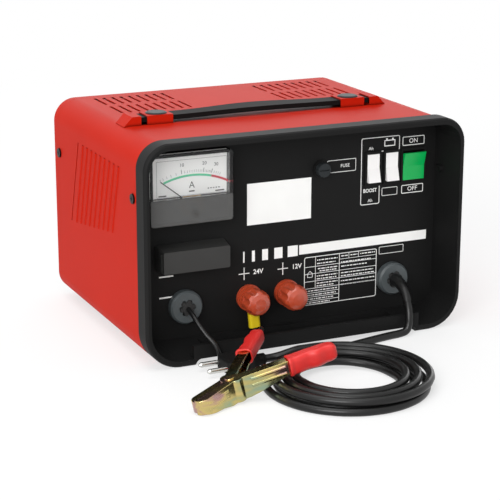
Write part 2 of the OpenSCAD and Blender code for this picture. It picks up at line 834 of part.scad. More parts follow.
module switch_body(x, w) {
    outer_w = switch_body_w(w);
    inside_w = w + 2 * rocker_side_gap;
    difference() {
        union() {
            slab(panel_y - bezel_proud, panel_y)
                translate([x, switch_z]) pill(outer_w + 1.6, body_h + 2.4, 1.2);
            slab(panel_y - 0.1, panel_back_y + 16)
                translate([x, switch_z]) square([outer_w - 2 * slip, body_h - 2 * slip], center = true);
        }
        slab(panel_y - bezel_proud - cut, rocker_pivot_y + 6)
            translate([x, switch_z]) square([inside_w, 2 * rocker_reach], center = true);
        rod_x(rocker_pivot_y, switch_z, 1.5 + slip, x - w / 2 - 1.4, x + w / 2 + 1.4);
    }
    for (z = [-8, 0, 8])
        translate([x - 0.4, panel_back_y + 15.9, switch_z + z - 2.4]) cube([0.8, 9, 4.8]);
}

module mains_switch_body() color("#1C1C1C") switch_body(mains_switch_x, mains_rocker_w);
module boost_switch_body() color("#1C1C1C") switch_body(boost_switch_x, slim_rocker_w);
module start_switch_body() color("#1C1C1C") switch_body(start_switch_x, slim_rocker_w);
module mains_rocker() color("#12A85A") rocker(mains_switch_x, mains_rocker_w, rocker_swing / 2);
module boost_rocker() color("#F2F0F0") rocker(boost_switch_x, slim_rocker_w, -rocker_swing / 2);
module start_rocker() color("#F2F0F0") rocker(start_switch_x, slim_rocker_w, -rocker_swing / 2);

// ---------------------------------------------------------------- terminals

collar_face_y = panel_y - 7.5;
lug_t = 1.5;
knob_front_y = panel_y - knob_reach;

module terminal_collar(x) {
    difference() {
        union() {
            rod_y(x, terminal_z, collar_r, panel_y - 3.5, panel_y);
            rod_y(x, terminal_z, collar_r - 2.6, panel_y - 5, panel_y - 3.4);
            rod_y(x, terminal_z, collar_r - 0.8, collar_face_y, panel_y - 4.9);
            rod_y(x, terminal_z, stud_r + 2, panel_y - 0.1, panel_back_y + 4);
        }
        rod_y(x, terminal_z, stud_r + slip, collar_face_y - cut, panel_back_y + 5);
    }
}

module terminal_collars() color("#B5382A") {
    terminal_collar(terminal_24_x);
    terminal_collar(terminal_12_x);
}

module terminal_studs() color("#C9B37A") {
    for (x = [terminal_24_x, terminal_12_x]) {
        rod_y(x, terminal_z, stud_r, knob_front_y + 6, panel_back_y + 18);
        difference() {
            slab(panel_back_y + 4, panel_back_y + 9)
                translate([x, terminal_z]) circle(r = stud_r * 1.9, $fn = 6);
            rod_y(x, terminal_z, stud_r - 0.01, panel_back_y + 3, panel_back_y + 10);
        }
    }
}

module terminal_knob(x, back_y) {
    l = back_y - knob_front_y;
    difference() {
        intersection() {
            translate([x, knob_front_y, terminal_z]) rotate([-90, 0, 0])
                rotate_extrude() polygon([
                    [0, 0], [knob_r * 0.45, 0.3], [knob_r * 0.78, 1.8], [knob_r * 0.95, 4.4],
                    [knob_r, 7.5], [knob_r, l - 2.4], [knob_r * 0.86, l], [0, l]
                ]);
            slab(knob_front_y - cut, back_y + cut) difference() {
                translate([x, terminal_z]) circle(r = knob_r + 1);
                for (k = [0:knob_lobes - 1])
                    translate([x, terminal_z]) rotate(k * 360 / knob_lobes + 12)
                        translate([knob_r + 3.4, 0]) circle(r = 5.4);
            }
        }
        rod_y(x, terminal_z, stud_r + slip, knob_front_y + 5.8, back_y + cut);
    }
    // Round skirt behind the lobes
    difference() {
        rod_y(x, terminal_z, knob_r - 1.2, back_y - 2.4, back_y);
        rod_y(x, terminal_z, stud_r + slip, back_y - 3, back_y + cut);
    }
}

module knob_24v() color("#C23A2E") terminal_knob(terminal_24_x, collar_face_y - lug_t - fit_gap);
module knob_12v() color("#C23A2E") terminal_knob(terminal_12_x, collar_face_y - fit_gap);

// Ring lug under the 24 V knob, with its crimp barrel
lug_y = collar_face_y - lug_t / 2;
lug_drop = 27;
lug_barrel_r = 2.7;
lug_swing = 5.5;

// The lug hangs a little to the right under its knob
module lug_hang() {
    translate([terminal_24_x, 0, terminal_z]) rotate([0, -lug_swing, 0])
        translate([-terminal_24_x, 0, -terminal_z]) children();
}

module positive_lug() color("#C8A87C") lug_hang() {
    difference() {
        union() {
            rod_y(terminal_24_x, terminal_z, stud_r + 3.6, collar_face_y - lug_t, collar_face_y);
            translate([terminal_24_x - 2.6, collar_face_y - lug_t, terminal_z - 15])
                cube([5.2, lug_t, 15]);
            translate([terminal_24_x, lug_y, terminal_z - lug_drop + 2])
                cylinder(r = lug_barrel_r, h = lug_drop - knob_r - 2.8);
        }
        rod_y(terminal_24_x, terminal_z, stud_r + 0.2, collar_face_y - 3, collar_face_y + 1);
    }
}

module lug_sleeve() color("#E8C814") lug_hang() {
    difference() {
        translate([terminal_24_x, lug_y, terminal_z - lug_drop]) linear_extrude(lug_drop - knob_r - 1)
            pill(11, 7, 3);
        translate([terminal_24_x, lug_y, terminal_z - lug_drop + 2])
            cylinder(r = lug_barrel_r + slip, h = 20);
        translate([terminal_24_x - 2.7, collar_face_y - lug_t - 0.05, terminal_z - 15.1])
            cube([5.4, lug_t + 0.1, 20]);
    }
}

// ---------------------------------------------------------------- glands

module gland(x, cord_dia) {
    star_r = 5.4;
    difference() {
        union() {
            rod_y(x, gland_z, gland_r, panel_y - gland_proud + 2, panel_y);
            translate([x, panel_y - gland_proud, gland_z]) rotate([-90, 0, 0])
                cylinder(r1 = gland_r - 1.6, r2 = gland_r, h = 2.01);
            rod_y(x, gland_z, gland_r - 4, panel_y - 0.1, panel_back_y + 12);
            slab(panel_back_y, panel_back_y + 6) translate([x, gland_z]) circle(r = gland_r + 1, $fn = 8);
        }
        rod_y(x, gland_z, star_r, panel_y - gland_proud - cut, panel_y - gland_proud + gland_floor);
        for (k = [0:5])
            translate([x, panel_y - gland_proud + gland_floor, gland_z]) rotate([90, 60 * k, 0])
                translate([star_r + 0.6, 0, 0]) cylinder(r = 2, h = gland_floor + cut, $fn = 24);
        rod_y(x, gland_z, cord_dia / 2 + 0.4, panel_y + 6, panel_back_y + 13);
    }
}

module negative_gland() color("#5A6064") gland(negative_gland_x, lead_dia);
module mains_gland() color("#5A6064") gland(mains_gland_x, mains_dia);
gland_exit_y = panel_y - gland_proud + gland_floor;

// ---------------------------------------------------------------- inside

core_x = 24;
core_y = 22;
core_w = 108;
core_depth = 56;
core_h = 90;
core_z = ground_gap + 2 * sheet_t + 3;
leg = 36;

module transformer_core() color("#6E6A66") {
    translate([core_x, core_y, core_z]) difference() {
        translate([-core_w / 2, -core_depth / 2, 0]) cube([core_w, core_depth, core_h]);
        for (s = [-1, 1])
            translate([s * (leg / 2 + 9) - 9, -core_depth, 18]) cube([18, 2 * core_depth, core_h - 36]);
    }
}

module winding(z0, h) {
    translate([core_x, core_y, z0]) difference() {
        linear_extrude(h) pill(leg + 34, core_depth + 34, 12);
        translate([0, 0, -cut]) linear_extrude(h + 2 * cut)
            square([leg + 0.4, core_depth + 0.4], center = true);
    }
}

window_h = core_h - 36;
module primary_winding() color("#B5652C") winding(core_z + 18, window_h / 2 - 1);
module secondary_winding() color("#C27A3A") winding(core_z + 18 + window_h / 2, window_h / 2 - 0.2);

module transformer_frame() color("#8E9092") {
    z0 = ground_gap + 2 * sheet_t;
    translate([core_x, core_y, z0]) {
        translate([-core_w / 2 - 12, -core_depth / 2, 0]) cube([core_w + 24, core_depth, 3]);
        for (s = [-1, 1])
            translate([s * (core_w / 2 + 1.5) - 1.5, -core_depth / 2, 2.9])
                cube([3, core_depth, core_h + 0.2]);
        translate([-core_w / 2 - 3, -core_depth / 2, core_h + 3]) cube([core_w + 6, core_depth, 3]);
    }
}

plate_x = 67.2 - inner_w / 2 + cover_foot_r - 20;
plate_l = 90;
plate_h = 84;
diode_pitch = 0.64 * plate_l;
diode_y = plate_l / 2 - 0.32 * plate_l - 40;
module rectifier_plate() color("#B9BCBE") {
    z0 = ground_gap + 2 * sheet_t;
    difference() {
        union() {
            translate([plate_x, -40, z0]) cube([3, plate_l, plate_h]);
            translate([plate_x - 16, -40, z0]) cube([16.1, plate_l, 3]);
        }
        for (y = [diode_y, diode_y + diode_pitch], z = [0.31, 0.74] * plate_h)
            translate([plate_x - 1, y, z0 + z]) rotate([0, 90, 0]) cylinder(r = 6.4, h = 5);
    }
}

module rectifier_diodes() color("#9C9C98") {
    z0 = ground_gap + 2 * sheet_t;
    for (y = [diode_y, diode_y + diode_pitch], z = [0.31, 0.74] * plate_h)
        translate([plate_x - 2, y, z0 + z]) rotate([0, 90, 0]) {
            cylinder(r = 6.35, h = 8);
            cylinder(r = 0.8, h = 22);
        }
}

module thermal_cutout() color("#3A3A3E") {
    translate([core_x, core_y, core_z + core_h + 3]) {
        cylinder(r = 8, h = 5);
        for (s = [-1, 1]) translate([s * 5 - 0.4, -3, 4.9]) cube([0.8, 6, 8]);
    }
}

// ---------------------------------------------------------------- clamps

jaw_d = 9;
nose_r = 8;
barrel_r = 8;
channel_d = 9.5;
inner_drop = arm_t + 0.3;
grip_start = 52;
tooth = 1.6;

// Edge of an arm below its handle, seen from the side: deep and level round the pin
dip_line = [
    [-jaw_l - 2, 0], [3 - jaw_l, 0], [-30, -0.4 * knuckle_dip], [-20, -0.57 * knuckle_dip],
    [-barrel_r - 1, -knuckle_dip], [barrel_r + 1, -knuckle_dip], [18, -0.79 * knuckle_dip],
    [27, -0.5 * knuckle_dip], [35, -0.22 * knuckle_dip], [42, 0], [handle_l + 20, 0]
];

// Side view of an arm, its edges drawn in by a distance
module arm_side(z0, h, t) {
    slab(-60, 60)
        polygon(concat(
            [for (p = dip_line) [p[0], z0 + p[1] + t]],
            [[handle_l + 20, z0 + h - t], [-jaw_l - 2, z0 + h - t]]
        ));
}

// Plan of one arm on the minus Y side of the clamp, with the radius of its ears
module arm_plan(inset, ear_r) {
    jaw = [
        [-jaw_l + nose_r, -jaw_d + inset], [0, -barrel_r + inset], [0, 2], [-8, 0],
        [-jaw_l + inset, 0], [-jaw_l + inset, -jaw_d + nose_r]
    ];
    difference() {
        union() {
            polygon(jaw);
            intersection() {
                translate([-jaw_l + nose_r, -jaw_d + nose_r]) circle(r = nose_r - inset);
                translate([-jaw_l - 1, -jaw_d - 1]) square([nose_r + 2, jaw_d + 1]);
            }
            intersection() {
                circle(r = barrel_r - inset);
                translate([-barrel_r, -barrel_r]) square([2 * barrel_r, barrel_r]);
            }
            circle(r = ear_r);
            translate([2, -5]) circle(r = 6.2 - inset);
            rotate(-handle_half)
                translate([0, -channel_d / 2 - 2 + inset]) square([handle_l - inset, channel_d - inset]);
        }
        for (i = [0:6]) translate([-jaw_l + 5 + i * 4.6, 0.3]) rotate(45) square(tooth, center = true);
        translate([-jaw_l - 2, 0]) square([jaw_l - 10, 20]);
    }
}

// Pressed ribs on the outer wall of an arm
module arm_ribs(z0) {
    rotate(-handle_half)
        for (z = [2.6, 8.6])
            translate([17, -channel_d / 2 - 1.7, z0 + z]) rotate([0, 90, 0])
                cylinder(r = 1.4, h = 32, $fn = 16);
    for (z = [2.4, 8.2])
        translate([-36, 0.9 - jaw_d, z0 + z]) rotate([0, 90, 1.6]) cylinder(r = 1.4, h = 25, $fn = 16);
}

// Channel arm: a back wall outside, and two side walls with the ears of the pin
module clamp_arm(z0, h, ear_r) {
    difference() {
        union() {
            intersection() {
                translate([0, 0, z0 - knuckle_dip]) linear_extrude(h + knuckle_dip) arm_plan(0, ear_r);
                arm_side(z0, h, 0);
            }
            arm_ribs(z0);
        }
        intersection() {
            translate([0, 0, z0 - knuckle_dip]) linear_extrude(h + knuckle_dip) difference() {
                union() {
                    arm_plan(arm_t, ear_r - 0.1);
                    translate([-jaw_l + arm_t + 1, -3]) square([jaw_l - 6, 8]);
                    rotate(-handle_half) translate([6, -channel_d / 2 + 1]) square([handle_l, 12]);
                    circle(r = barrel_r - arm_t);
                    translate([-barrel_r - 1, 0]) square([2 * barrel_r, barrel_r + 1]);
                    rotate(60) translate([0, -barrel_r]) square([30, 2 * barrel_r]);
                }
                difference() {
                    rotate(-handle_half)
                        translate([4, -channel_d / 2 - 2]) square([handle_l + 20, arm_t]);
                    translate([2, -5]) circle(r = 6.2 - arm_t);
                }
            }
            arm_side(z0, h, arm_t);
        }
        translate([0, 0, z0 - knuckle_dip - cut]) cylinder(r = pin_r + slip, h = h + knuckle_dip + 2 * cut);
    }
}

// Soft grip over the end of an arm
module clamp_grip(z0, h) {
    x0 = grip_start;
    x1 = handle_l + 4;
    y0 = -channel_d / 2 - 2 - inner_gap;
    y1 = y0 + channel_d + 2 * inner_gap;
    rotate(-handle_half) intersection() {
        grip_side(z0 - inner_gap - grip_t, h + 2 * (inner_gap + grip_t));
        grip_body(x0, x1, y0, y1, z0, h);
    }
}

// Side view of a grip: it grows slimmer to its rounded end
module grip_side(z0, h) {
    end = handle_l + 4;
    slab(-60, 60) polygon([
        [grip_start - 1, z0], [grip_start + 24, z0], [end - 8, z0 + 0.9], [end - 3, z0 + 1.8],
        [end, z0 + 4.4], [end, z0 + h - 4.4], [end - 3, z0 + h - 1.8], [end - 8, z0 + h - 0.9],
        [grip_start + 24, z0 + h], [grip_start - 1, z0 + h]
    ]);
}

module grip_body(x0, x1, y0, y1, z0, h) {
    difference() {
        translate([0, 0, z0 - inner_gap - grip_t])
            linear_extrude(h + 2 * (inner_gap + grip_t)) difference() {
                union() {
                    translate([x0, y0 - grip_t]) square([x1 - x0 - 7, y1 - y0 + 2 * grip_t]);
                    translate([x1 - 7, (y0 + y1) / 2]) circle(r = (y1 - y0) / 2 + grip_t);
                    translate([x0, y0 - grip_t - 1.4]) square([3, y1 - y0 + 2 * grip_t + 1.4]);
                }
                // Finger hollows
                for (k = [0, 1])
                    translate([x0 + 20 + 24 * k, y0 - grip_t - 17.4]) circle(r = 18);
            }
        translate([x0 - cut, y0, z0 - inner_gap])
            cube([handle_l + inner_gap - x0 + cut, y1 - y0, h + 2 * inner_gap]);
    }
}

module clamp_pin() {
    translate([0, 0, -knuckle_dip - 0.8]) cylinder(r = pin_r + 1.6, h = 0.8);
    translate([0, 0, -knuckle_dip - 0.1]) cylinder(r = pin_r, h = arm_h + knuckle_dip + 0.2);
    translate([0, 0, arm_h]) cylinder(r = pin_r + 1.6, h = 0.8);
}

// Torsion spring round the pin: its two legs press on the inside of the outer walls
spring_wire = 1.1;
spring_r = channel_d / 2 + 2 - arm_t - spring_wire / 2 - 0.25;
spring_curls = 3;
spring_leg = 16;
module clamp_spring() {
    z0 = 4.9 - knuckle_dip;
    turns = spring_curls + (180 - 2 * handle_half) / 360;
    steps = ceil(turns * 8);
    rise = arm_h - inner_drop - arm_t - spring_wire / 2 - 0.2 - z0;
    first_angle = -handle_half - 90;
    curl = [
        for (i = [0:steps])
            let (a = first_angle - 360 * turns * i / steps)
            [spring_r * cos(a), spring_r * sin(a), z0 + rise * i / steps]
    ];
    leg0 = curl[0] + spring_leg * [cos(handle_half), -sin(handle_half), 0];
    leg1 = curl[steps] + spring_leg * [cos(handle_half), sin(handle_half), 0];
    points = concat([leg0, (leg0 + curl[0]) / 2], curl, [(leg1 + curl[steps]) / 2, leg1]);
    tube(points, spring_wire / 2, 6);
}

// Places of the two clamps: the pin's foot, the turn about Z, the tilt
red_pin_at = [-122, front_y - 95.5, 9.4];
red_turn = 22;
red_tilt = 13;
black_pin_at = [negative_gland_x + 120.5, rear_y + 58, knuckle_dip + 1.2];
black_turn = 180;
black_tilt = 4;

module red_clamp() translate(red_pin_at) rotate([0, -red_tilt, 0]) rotate(red_turn) children();
module black_clamp() translate(black_pin_at) rotate([0, -black_tilt, 0])
    rotate(black_turn) children();
module other_side() mirror([0, 1, 0]) children();
back_h = arm_h - 2 * inner_drop;
inner_ear_r = barrel_r - arm_t - fit_gap;

module red_front_arm() color("#C2A860") red_clamp() clamp_arm(0, arm_h, barrel_r);
module red_back_arm() color("#B8A878") red_clamp() other_side() clamp_arm(inner_drop, back_h, inner_ear_r);
module red_front_grip() color("#DD2A2A") red_clamp() clamp_grip(0, arm_h);
module red_back_grip() color("#C02A2A") red_clamp() other_side() clamp_grip(inner_drop, back_h);
module red_pin() color("#C8B078") red_clamp() clamp_pin();
module red_spring() color("#8C8C88") red_clamp() clamp_spring();
module black_front_arm() color("#C2A860") black_clamp() clamp_arm(0, arm_h, barrel_r);
module black_back_arm() color("#B8A878")
    black_clamp() other_side() clamp_arm(inner_drop, back_h, inner_ear_r);
module black_front_grip() color("#1E1E1E") black_clamp() clamp_grip(0, arm_h);
module black_back_grip() color("#1E1E1E") black_clamp() other_side() clamp_grip(inner_drop, back_h);
module black_pin() color("#C8B078") black_clamp() clamp_pin();
module black_spring() color("#8C8C88") black_clamp() clamp_spring();

// ---------------------------------------------------------------- cords

// Point in the case's frame from one counted from the rim's front plane
function at(x, depth, z) = [x, front_y + depth, z];

// Place of a point of a clamp
function turned(p, a) = [p[0] * cos(a) - p[1] * sin(a), p[0] * sin(a) + p[1] * cos(a), p[2]];
function tilted(p, a) = [p[0] * cos(a) - p[2] * sin(a), p[1], p[0] * sin(a) + p[2] * cos(a)];
grip_end_x = handle_l - 3 + channel_d / 2 + inner_gap + grip_t;
// Point on the axis of a back handle, some way past its grip
function past_grip(extra) =
    let (p = turned([grip_end_x + extra, -2, arm_h / 2], -handle_half))
    [p[0], -p[1], p[2]];
function on_red(p) = red_pin_at + tilted(turned(p, red_turn), red_tilt);
function on_black(p) = black_pin_at + tilted(turned(p, black_turn), black_tilt);

// Point at a distance down the lug's own line
function lug_line(d) =
    [terminal_24_x + d * sin(lug_swing), lug_y, terminal_z - d * cos(lug_swing)];

module positive_lead() color("#141414") {
    tube([
        lug_line(lug_drop), lug_line(lug_drop + 2.4),
        at(-42.7, 27.9, 13.8), at(-42.9, 25.8, 12), at(-43.2, 23.1, 11.1), at(-43.6, 20.3, 11.1),
        at(-44.2, 17.7, 12), at(-45, 15.4, 13.8), at(-46.2, 12.2, 16.8), at(-47.6, 8.6, 19.9),
        at(-49.2, 4.4, 22.8), at(-50.9, 0, 25.2), at(-52.3, -4, 26.9),
        at(-53.4, -8, 28.3),
        on_red(past_grip(2.2 * lead_dia)), on_red(past_grip(lead_dia)), on_red(past_grip(0.1))
    ], lead_dia / 2, 8, [1, 0, 0]);
}

module negative_lead() color("#141414") {
    x = negative_gland_x;
    tube([
        [x, gland_exit_y, gland_z], [x, gland_exit_y - lead_dia, gland_z],
        at(x + 0.1, 25.6, 44.4), at(x + 0.6, 20.6, 42.2), at(x + 1.7, 15.6, 38.6),
        at(x + 3.3, 11, 34.2), at(x + 5.5, 6.8, 29.8), at(x + 7.9, 3, 25.6),
        at(x + 10.5, -0.6, 22.2), at(x + 12.9, -3.4, 18.4), at(x + 14.7, -5.2, 13.8),
        at(x + 16.1, -6.1, 9.2), at(x + 17.7, -6.2, 5.4), at(x + 20.9, -5, 2.8),
        at(x + 25.9, -2, 2.4), at(x + 30.5, 2.4, 2.4), at(x + 33.5, 8, 2.4),
        at(x + 34.5, 16, 2.4), at(x + 33.5, 28, 2.4), at(x + 30.5, 50, 2.4),
        at(x + 25.5, 90, 2.4), at(x + 20.5, 130, 2.4), at(x + 15.5, 170, 2.4),
        at(x + 10.5, 205, 2.4), at(x + 5.5, 235, 2.4), at(x + 1.9, 250, 2.6),
        at(x + 1.9, 258, 3.2), at(x + 5.1, 264, 4.2), at(x + 10.1, 267.6, 5.4),
        on_black(past_grip(3.2 * lead_dia)) - [0, 0, 1],
        on_black(past_grip(2 * lead_dia)) - [0, 0, 0.3],
        on_black(past_grip(lead_dia)), on_black(past_grip(0.1))
    ], lead_dia / 2, 8);
}

// Coil of the mains cord: it spirals in on the floor, climbs, and spirals out on top
coil_at = at(-14, -103, mains_dia / 2);
coil_start = 96;
coil_total = 2 * coil_turns;
coil_climb = mains_dia + 0.6;
function coil_point(t) =
    let (
        u = abs(t - coil_turns),
        r = coil_inner_r + coil_pitch * max(0, u - 0.25),
        lift = coil_climb * min(1, max(0, (t - coil_turns + 0.25) * 2)),
        a = coil_start + 360 * t
    )
    coil_at + [r * cos(a), r * sin(a), lift];
coil_rings = round(coil_total * 24);
coil_line = [for (i = [0:coil_rings]) coil_point(coil_total * i / coil_rings)];
coil_end = coil_line[coil_rings];
coil_gap = min([
    for (i = [0:coil_rings - 13], j = [i + 12:coil_rings]) norm(coil_line[i] - coil_line[j])
]) - mains_dia;
echo(coil_gap = coil_gap);

module mains_coil() color("#141414") tube(coil_line, mains_dia / 2, 6);

coil_in = unit(coil_line[1] - coil_line[0]);
coil_out = unit(coil_line[coil_rings] - coil_line[coil_rings - 1]);

// Part of the way along the floor from the gland's side to the coil
function floor_x(k) = mains_gland_x + (-9 - mains_gland_x) * k;

module mains_lead() color("#141414") {
    x = mains_gland_x;
    h = mains_dia / 2;
    tube([
        [x, gland_exit_y, gland_z], [x, gland_exit_y - mains_dia, gland_z],
        at(x - 0.1, 19.6, 44.4), at(x - 0.4, 12.2, 41.2), at(x - 0.9, 6, 36.4),
        at(x - 1.6, 1.2, 30.6), at(x - 2.4, -2.8, 24.4), at(x - 3.2, -5.4, 17.6),
        at(x - 4.4, -6.6, 10.8), at(x - 7.2, -7.2, 5.6), at(floor_x(0.118), -7.6, h + 0.15),
        at(floor_x(0.213), -9, h), at(floor_x(0.351), -11.9, h), at(floor_x(0.49), -15.3, h),
        at(floor_x(0.628), -18.8, h), at(floor_x(0.766), -22.2, h), at(floor_x(0.888), -24.8, h),
        at(floor_x(1), -26.6, h), coil_line[0] - 3 * coil_in, coil_line[0]
    ], h, 10);
}

module mains_tail() color("#141414") {
    tube([
        coil_end, coil_end + 3 * coil_out,
        at(-31, -28.9, 11.4), at(-37, -28.2, 10), at(-43, -26.8, 8.2),
        plug_point(plug_l + plug_neck + mains_dia), plug_point(plug_l + plug_neck)
    ], mains_dia / 2, 10);
}

// Flat plug: the centre of its pin face, and the way its pins point
plug_t = 13;
plug_w = 28;
plug_l = 34;
plug_neck = 8;
plug_turn = 181;
plug_at = at(-100, -25.5, plug_t / 2);
function plug_point(back) = plug_at - back * [cos(plug_turn), sin(plug_turn), 0];

module plug_body() color("#161616") {
    half = plug_w / 2;
    translate(plug_at) rotate(plug_turn) {
        intersection() {
            translate([0, 0, -plug_t / 2]) linear_extrude(plug_t) difference() {
                polygon([
                    [-plug_l, -6], [-plug_l + 5, -7], [-plug_l + 15, 1 - half], [-3, -half],
                    [0, 3 - half], [0, half - 3], [-3, half], [-plug_l + 15, half - 1],
                    [-plug_l + 5, 7], [-plug_l, 6]
                ]);
                for (s = [-1, 1]) translate([-plug_l + 13, s * (half + 8)]) circle(r = 11);
            }
            rotate([90, 0, 0]) linear_extrude(plug_w + 2, center = true) polygon([
                [-plug_l, -4.5], [-plug_l + 4, -plug_t / 2], [-1.5, -plug_t / 2],
                [0, 1.5 - plug_t / 2], [0, plug_t / 2 - 1.5], [-1.5, plug_t / 2],
                [-plug_l + 4, plug_t / 2], [-plug_l, 4.5]
            ]);
        }
        translate([-plug_l - plug_neck, 0, 0]) rotate([0, 90, 0])
            cylinder(r1 = mains_dia / 2 + 0.8, r2 = mains_dia / 2 + 1.8, h = plug_neck + 0.5);
        for (k = [0:2]) translate([-plug_l - plug_neck + 1 + 2.4 * k, 0, 0]) rotate([0, 90, 0])
            cylinder(r = mains_dia / 2 + 1.8, h = 1.2);
    }
}

module plug_pins() color("#C6C6C2") {
    translate(plug_at) rotate(plug_turn) rotate([0, 90, 0])
        for (s = [-1, 1]) translate([0, s * 9.5, 0]) {
            cylinder(r = 2.4, h = 17);
            translate([0, 0, 16.99]) cylinder(r1 = 2.4, r2 = 1.4, h = 2);
        }
}

front_panel();
cover();
base_tray();
rear_panel();
rear_feet();
cover_screws();
handle_strap();
handle_caps();
meter_case();
meter_cover();
meter_apron();
meter_dial();
meter_needle();
meter_movement();
fuse_cover();
fuse_strip();
fuse_block();
fuse_holder();
fuse_cap();
mains_fuse();
mains_switch_body();
mains_rocker();
boost_switch_body();
boost_rocker();
start_switch_body();
start_rocker();
terminal_collars();
terminal_studs();
knob_24v();
knob_12v();
negative_gland();
mains_gland();
transformer_core();
primary_winding();
secondary_winding();
transformer_frame();
rectifier_plate();
rectifier_diodes();
thermal_cutout();
red_front_arm();
red_back_arm();
red_front_grip();
red_back_grip();
red_pin();
red_spring();
black_front_arm();
black_back_arm();
black_front_grip();
black_back_grip();
black_pin();
black_spring();
positive_lug();
lug_sleeve();
positive_lead();
negative_lead();
mains_lead();
mains_coil();
mains_tail();
plug_body();
plug_pins();
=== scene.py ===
# %% [markdown]
# # A battery charger, step by step
# The object is a garage battery charger: a red sheet-steel cover on a black moulded front, with an
# ammeter, switches, two battery terminals and three cords. The rigid parts come ready from the CAD model.
# Blender adds what the CAD leaves plain: cords, soft grips, printing and the finish of every surface.

# %% Load the frame
import math
import bmesh
import bpy
from mathutils import Matrix, Vector


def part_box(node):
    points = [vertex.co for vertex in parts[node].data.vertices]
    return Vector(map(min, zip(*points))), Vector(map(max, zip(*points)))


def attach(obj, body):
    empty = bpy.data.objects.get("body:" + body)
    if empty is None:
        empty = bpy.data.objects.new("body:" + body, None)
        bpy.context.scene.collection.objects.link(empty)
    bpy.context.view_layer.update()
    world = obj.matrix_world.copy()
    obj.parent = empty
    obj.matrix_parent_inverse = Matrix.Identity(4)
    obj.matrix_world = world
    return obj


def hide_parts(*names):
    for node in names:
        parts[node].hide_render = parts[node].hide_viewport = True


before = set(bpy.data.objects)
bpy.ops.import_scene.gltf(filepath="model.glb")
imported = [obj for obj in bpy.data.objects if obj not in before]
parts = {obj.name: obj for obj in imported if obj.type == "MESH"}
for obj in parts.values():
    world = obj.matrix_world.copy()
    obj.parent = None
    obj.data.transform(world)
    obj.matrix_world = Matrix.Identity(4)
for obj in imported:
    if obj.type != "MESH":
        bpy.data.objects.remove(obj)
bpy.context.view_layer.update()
MM = 0.001

# %% [markdown]
# ## Camera
# A product picture like this is taken from well back with a long lens, a little above the object and to
# its left. The camera is placed by three angles (turn, tip and roll) and a distance, and its matrix is
# written from the three directions that these give. No shift is needed.

# %% Camera
LENS_MM = 117.70
SENSOR_MM = 36
CAMERA_AT = Vector((-0.654859, -1.413598, 0.509936))
turn, tip, roll = 0.432126779, 0.279806151, 0.00138020354
look = Vector((math.sin(turn) * math.cos(tip), math.cos(turn) * math.cos(tip), -math.sin(tip)))
level_right = Vector((math.cos(turn), -math.sin(turn), 0))
level_up = level_right.cross(look)
right = level_right * math.cos(roll) + level_up * math.sin(roll)
up = level_up * math.cos(roll) - level_right * math.sin(roll)
camera = bpy.data.objects.new("camera", bpy.data.cameras.new("camera"))
camera.data.lens = LENS_MM
camera.data.sensor_width = SENSOR_MM
camera.data.clip_start, camera.data.clip_end = 0.05, 50
camera.matrix_world = Matrix((
    (right.x, up.x, -look.x, CAMERA_AT.x),
    (right.y, up.y, -look.y, CAMERA_AT.y),
    (right.z, up.z, -look.z, CAMERA_AT.z),
    (0, 0, 0, 1),
))
bpy.context.collection.objects.link(camera)
bpy.context.scene.camera = camera
bpy.context.scene.view_settings.view_transform = "Standard"
print("camera lens", camera.data.lens)

# %% [markdown]
# ## Small tools for materials
# Colours are picked as sRGB hex values, as a paint chart gives them, but a shader works in linear light.
# One function turns the one into the other. A second adds a node, sets its values and links its sockets,
# so that each recipe below reads as a list of nodes. A third starts a material with its Principled shader
# and its Object coordinates, on which one unit is a metre, so a pattern's scale is one over its size.

# %% Colour and node tools
def linear(hex_colour):
    channels = [int(hex_colour[i:i + 2], 16) / 255 for i in (0, 2, 4)]
    return tuple(c / 12.92 if c <= 0.04045 else ((c + 0.055) / 1.055) ** 2.4 for c in channels) + (1.0,)


def add(tree, kind, values=None, **settings):
    made = tree.nodes.new(kind)
    for name, value in settings.items():
        setattr(made, name, value)
    for name, value in (values or {}).items():
        if isinstance(value, bpy.types.NodeSocket):
            tree.links.new(value, made.inputs[name])
        else:
            made.inputs[name].default_value = value
    return made


def recipe(name, **values):
    material = bpy.data.materials.new(name)
    material.use_nodes = True
    tree = material.node_tree
    shader = tree.nodes["Principled BSDF"]
    for key, value in values.items():
        shader.inputs[key.replace("_", " ")].default_value = value
    place = add(tree, "ShaderNodeTexCoord").outputs["Object"]
    return material, tree, shader, place


def per_metre(millimetres):
    return 1000 / millimetres


print("white", linear("FFFFFF"))

# %% [markdown]
# ## Powder-coated steel
# The cover is steel sheet with a satin red powder coat. The melted powder leaves a very shallow orange
# peel, a few millimetres across, and at a flat angle the coat mirrors bright air, which lifts the roof
# towards pink. Light hardly gets into the narrow slots and under the bridges, so painted shade darkens
# the base colour where surfaces lie within a few millimetres of each other. No other light or shadow is
# painted in.

# %% Red powder coat
PEEL_DEEP, PAINTED_SHADE_REACH = 0.0004, 0.005
red_coat, tree, shader, place = recipe(
    "powder_coated_steel_red", Roughness=0.58, IOR=1.45, Specular_IOR_Level=0.1
)
mottle = add(tree, "ShaderNodeTexNoise", {"Vector": place, "Scale": per_metre(60), "Detail": 3.0})
shade = add(tree, "ShaderNodeValToRGB", {"Fac": mottle.outputs["Fac"]})
shade.color_ramp.elements[0].color = linear("B01A05")
shade.color_ramp.elements[1].color = linear("B81E08")
# Painted shade: an Ambient Occlusion node darkens the red base colour in slots, louvres and under the
# bridges.
slot_occlusion = add(tree, "ShaderNodeAmbientOcclusion", {"Distance": PAINTED_SHADE_REACH}, samples=8)
painted_slot_shade = add(tree, "ShaderNodeMapRange", {
    "Value": slot_occlusion.outputs["AO"], "From Min": 0.35, "From Max": 0.8, "To Min": 0.04, "To Max": 1.0,
})
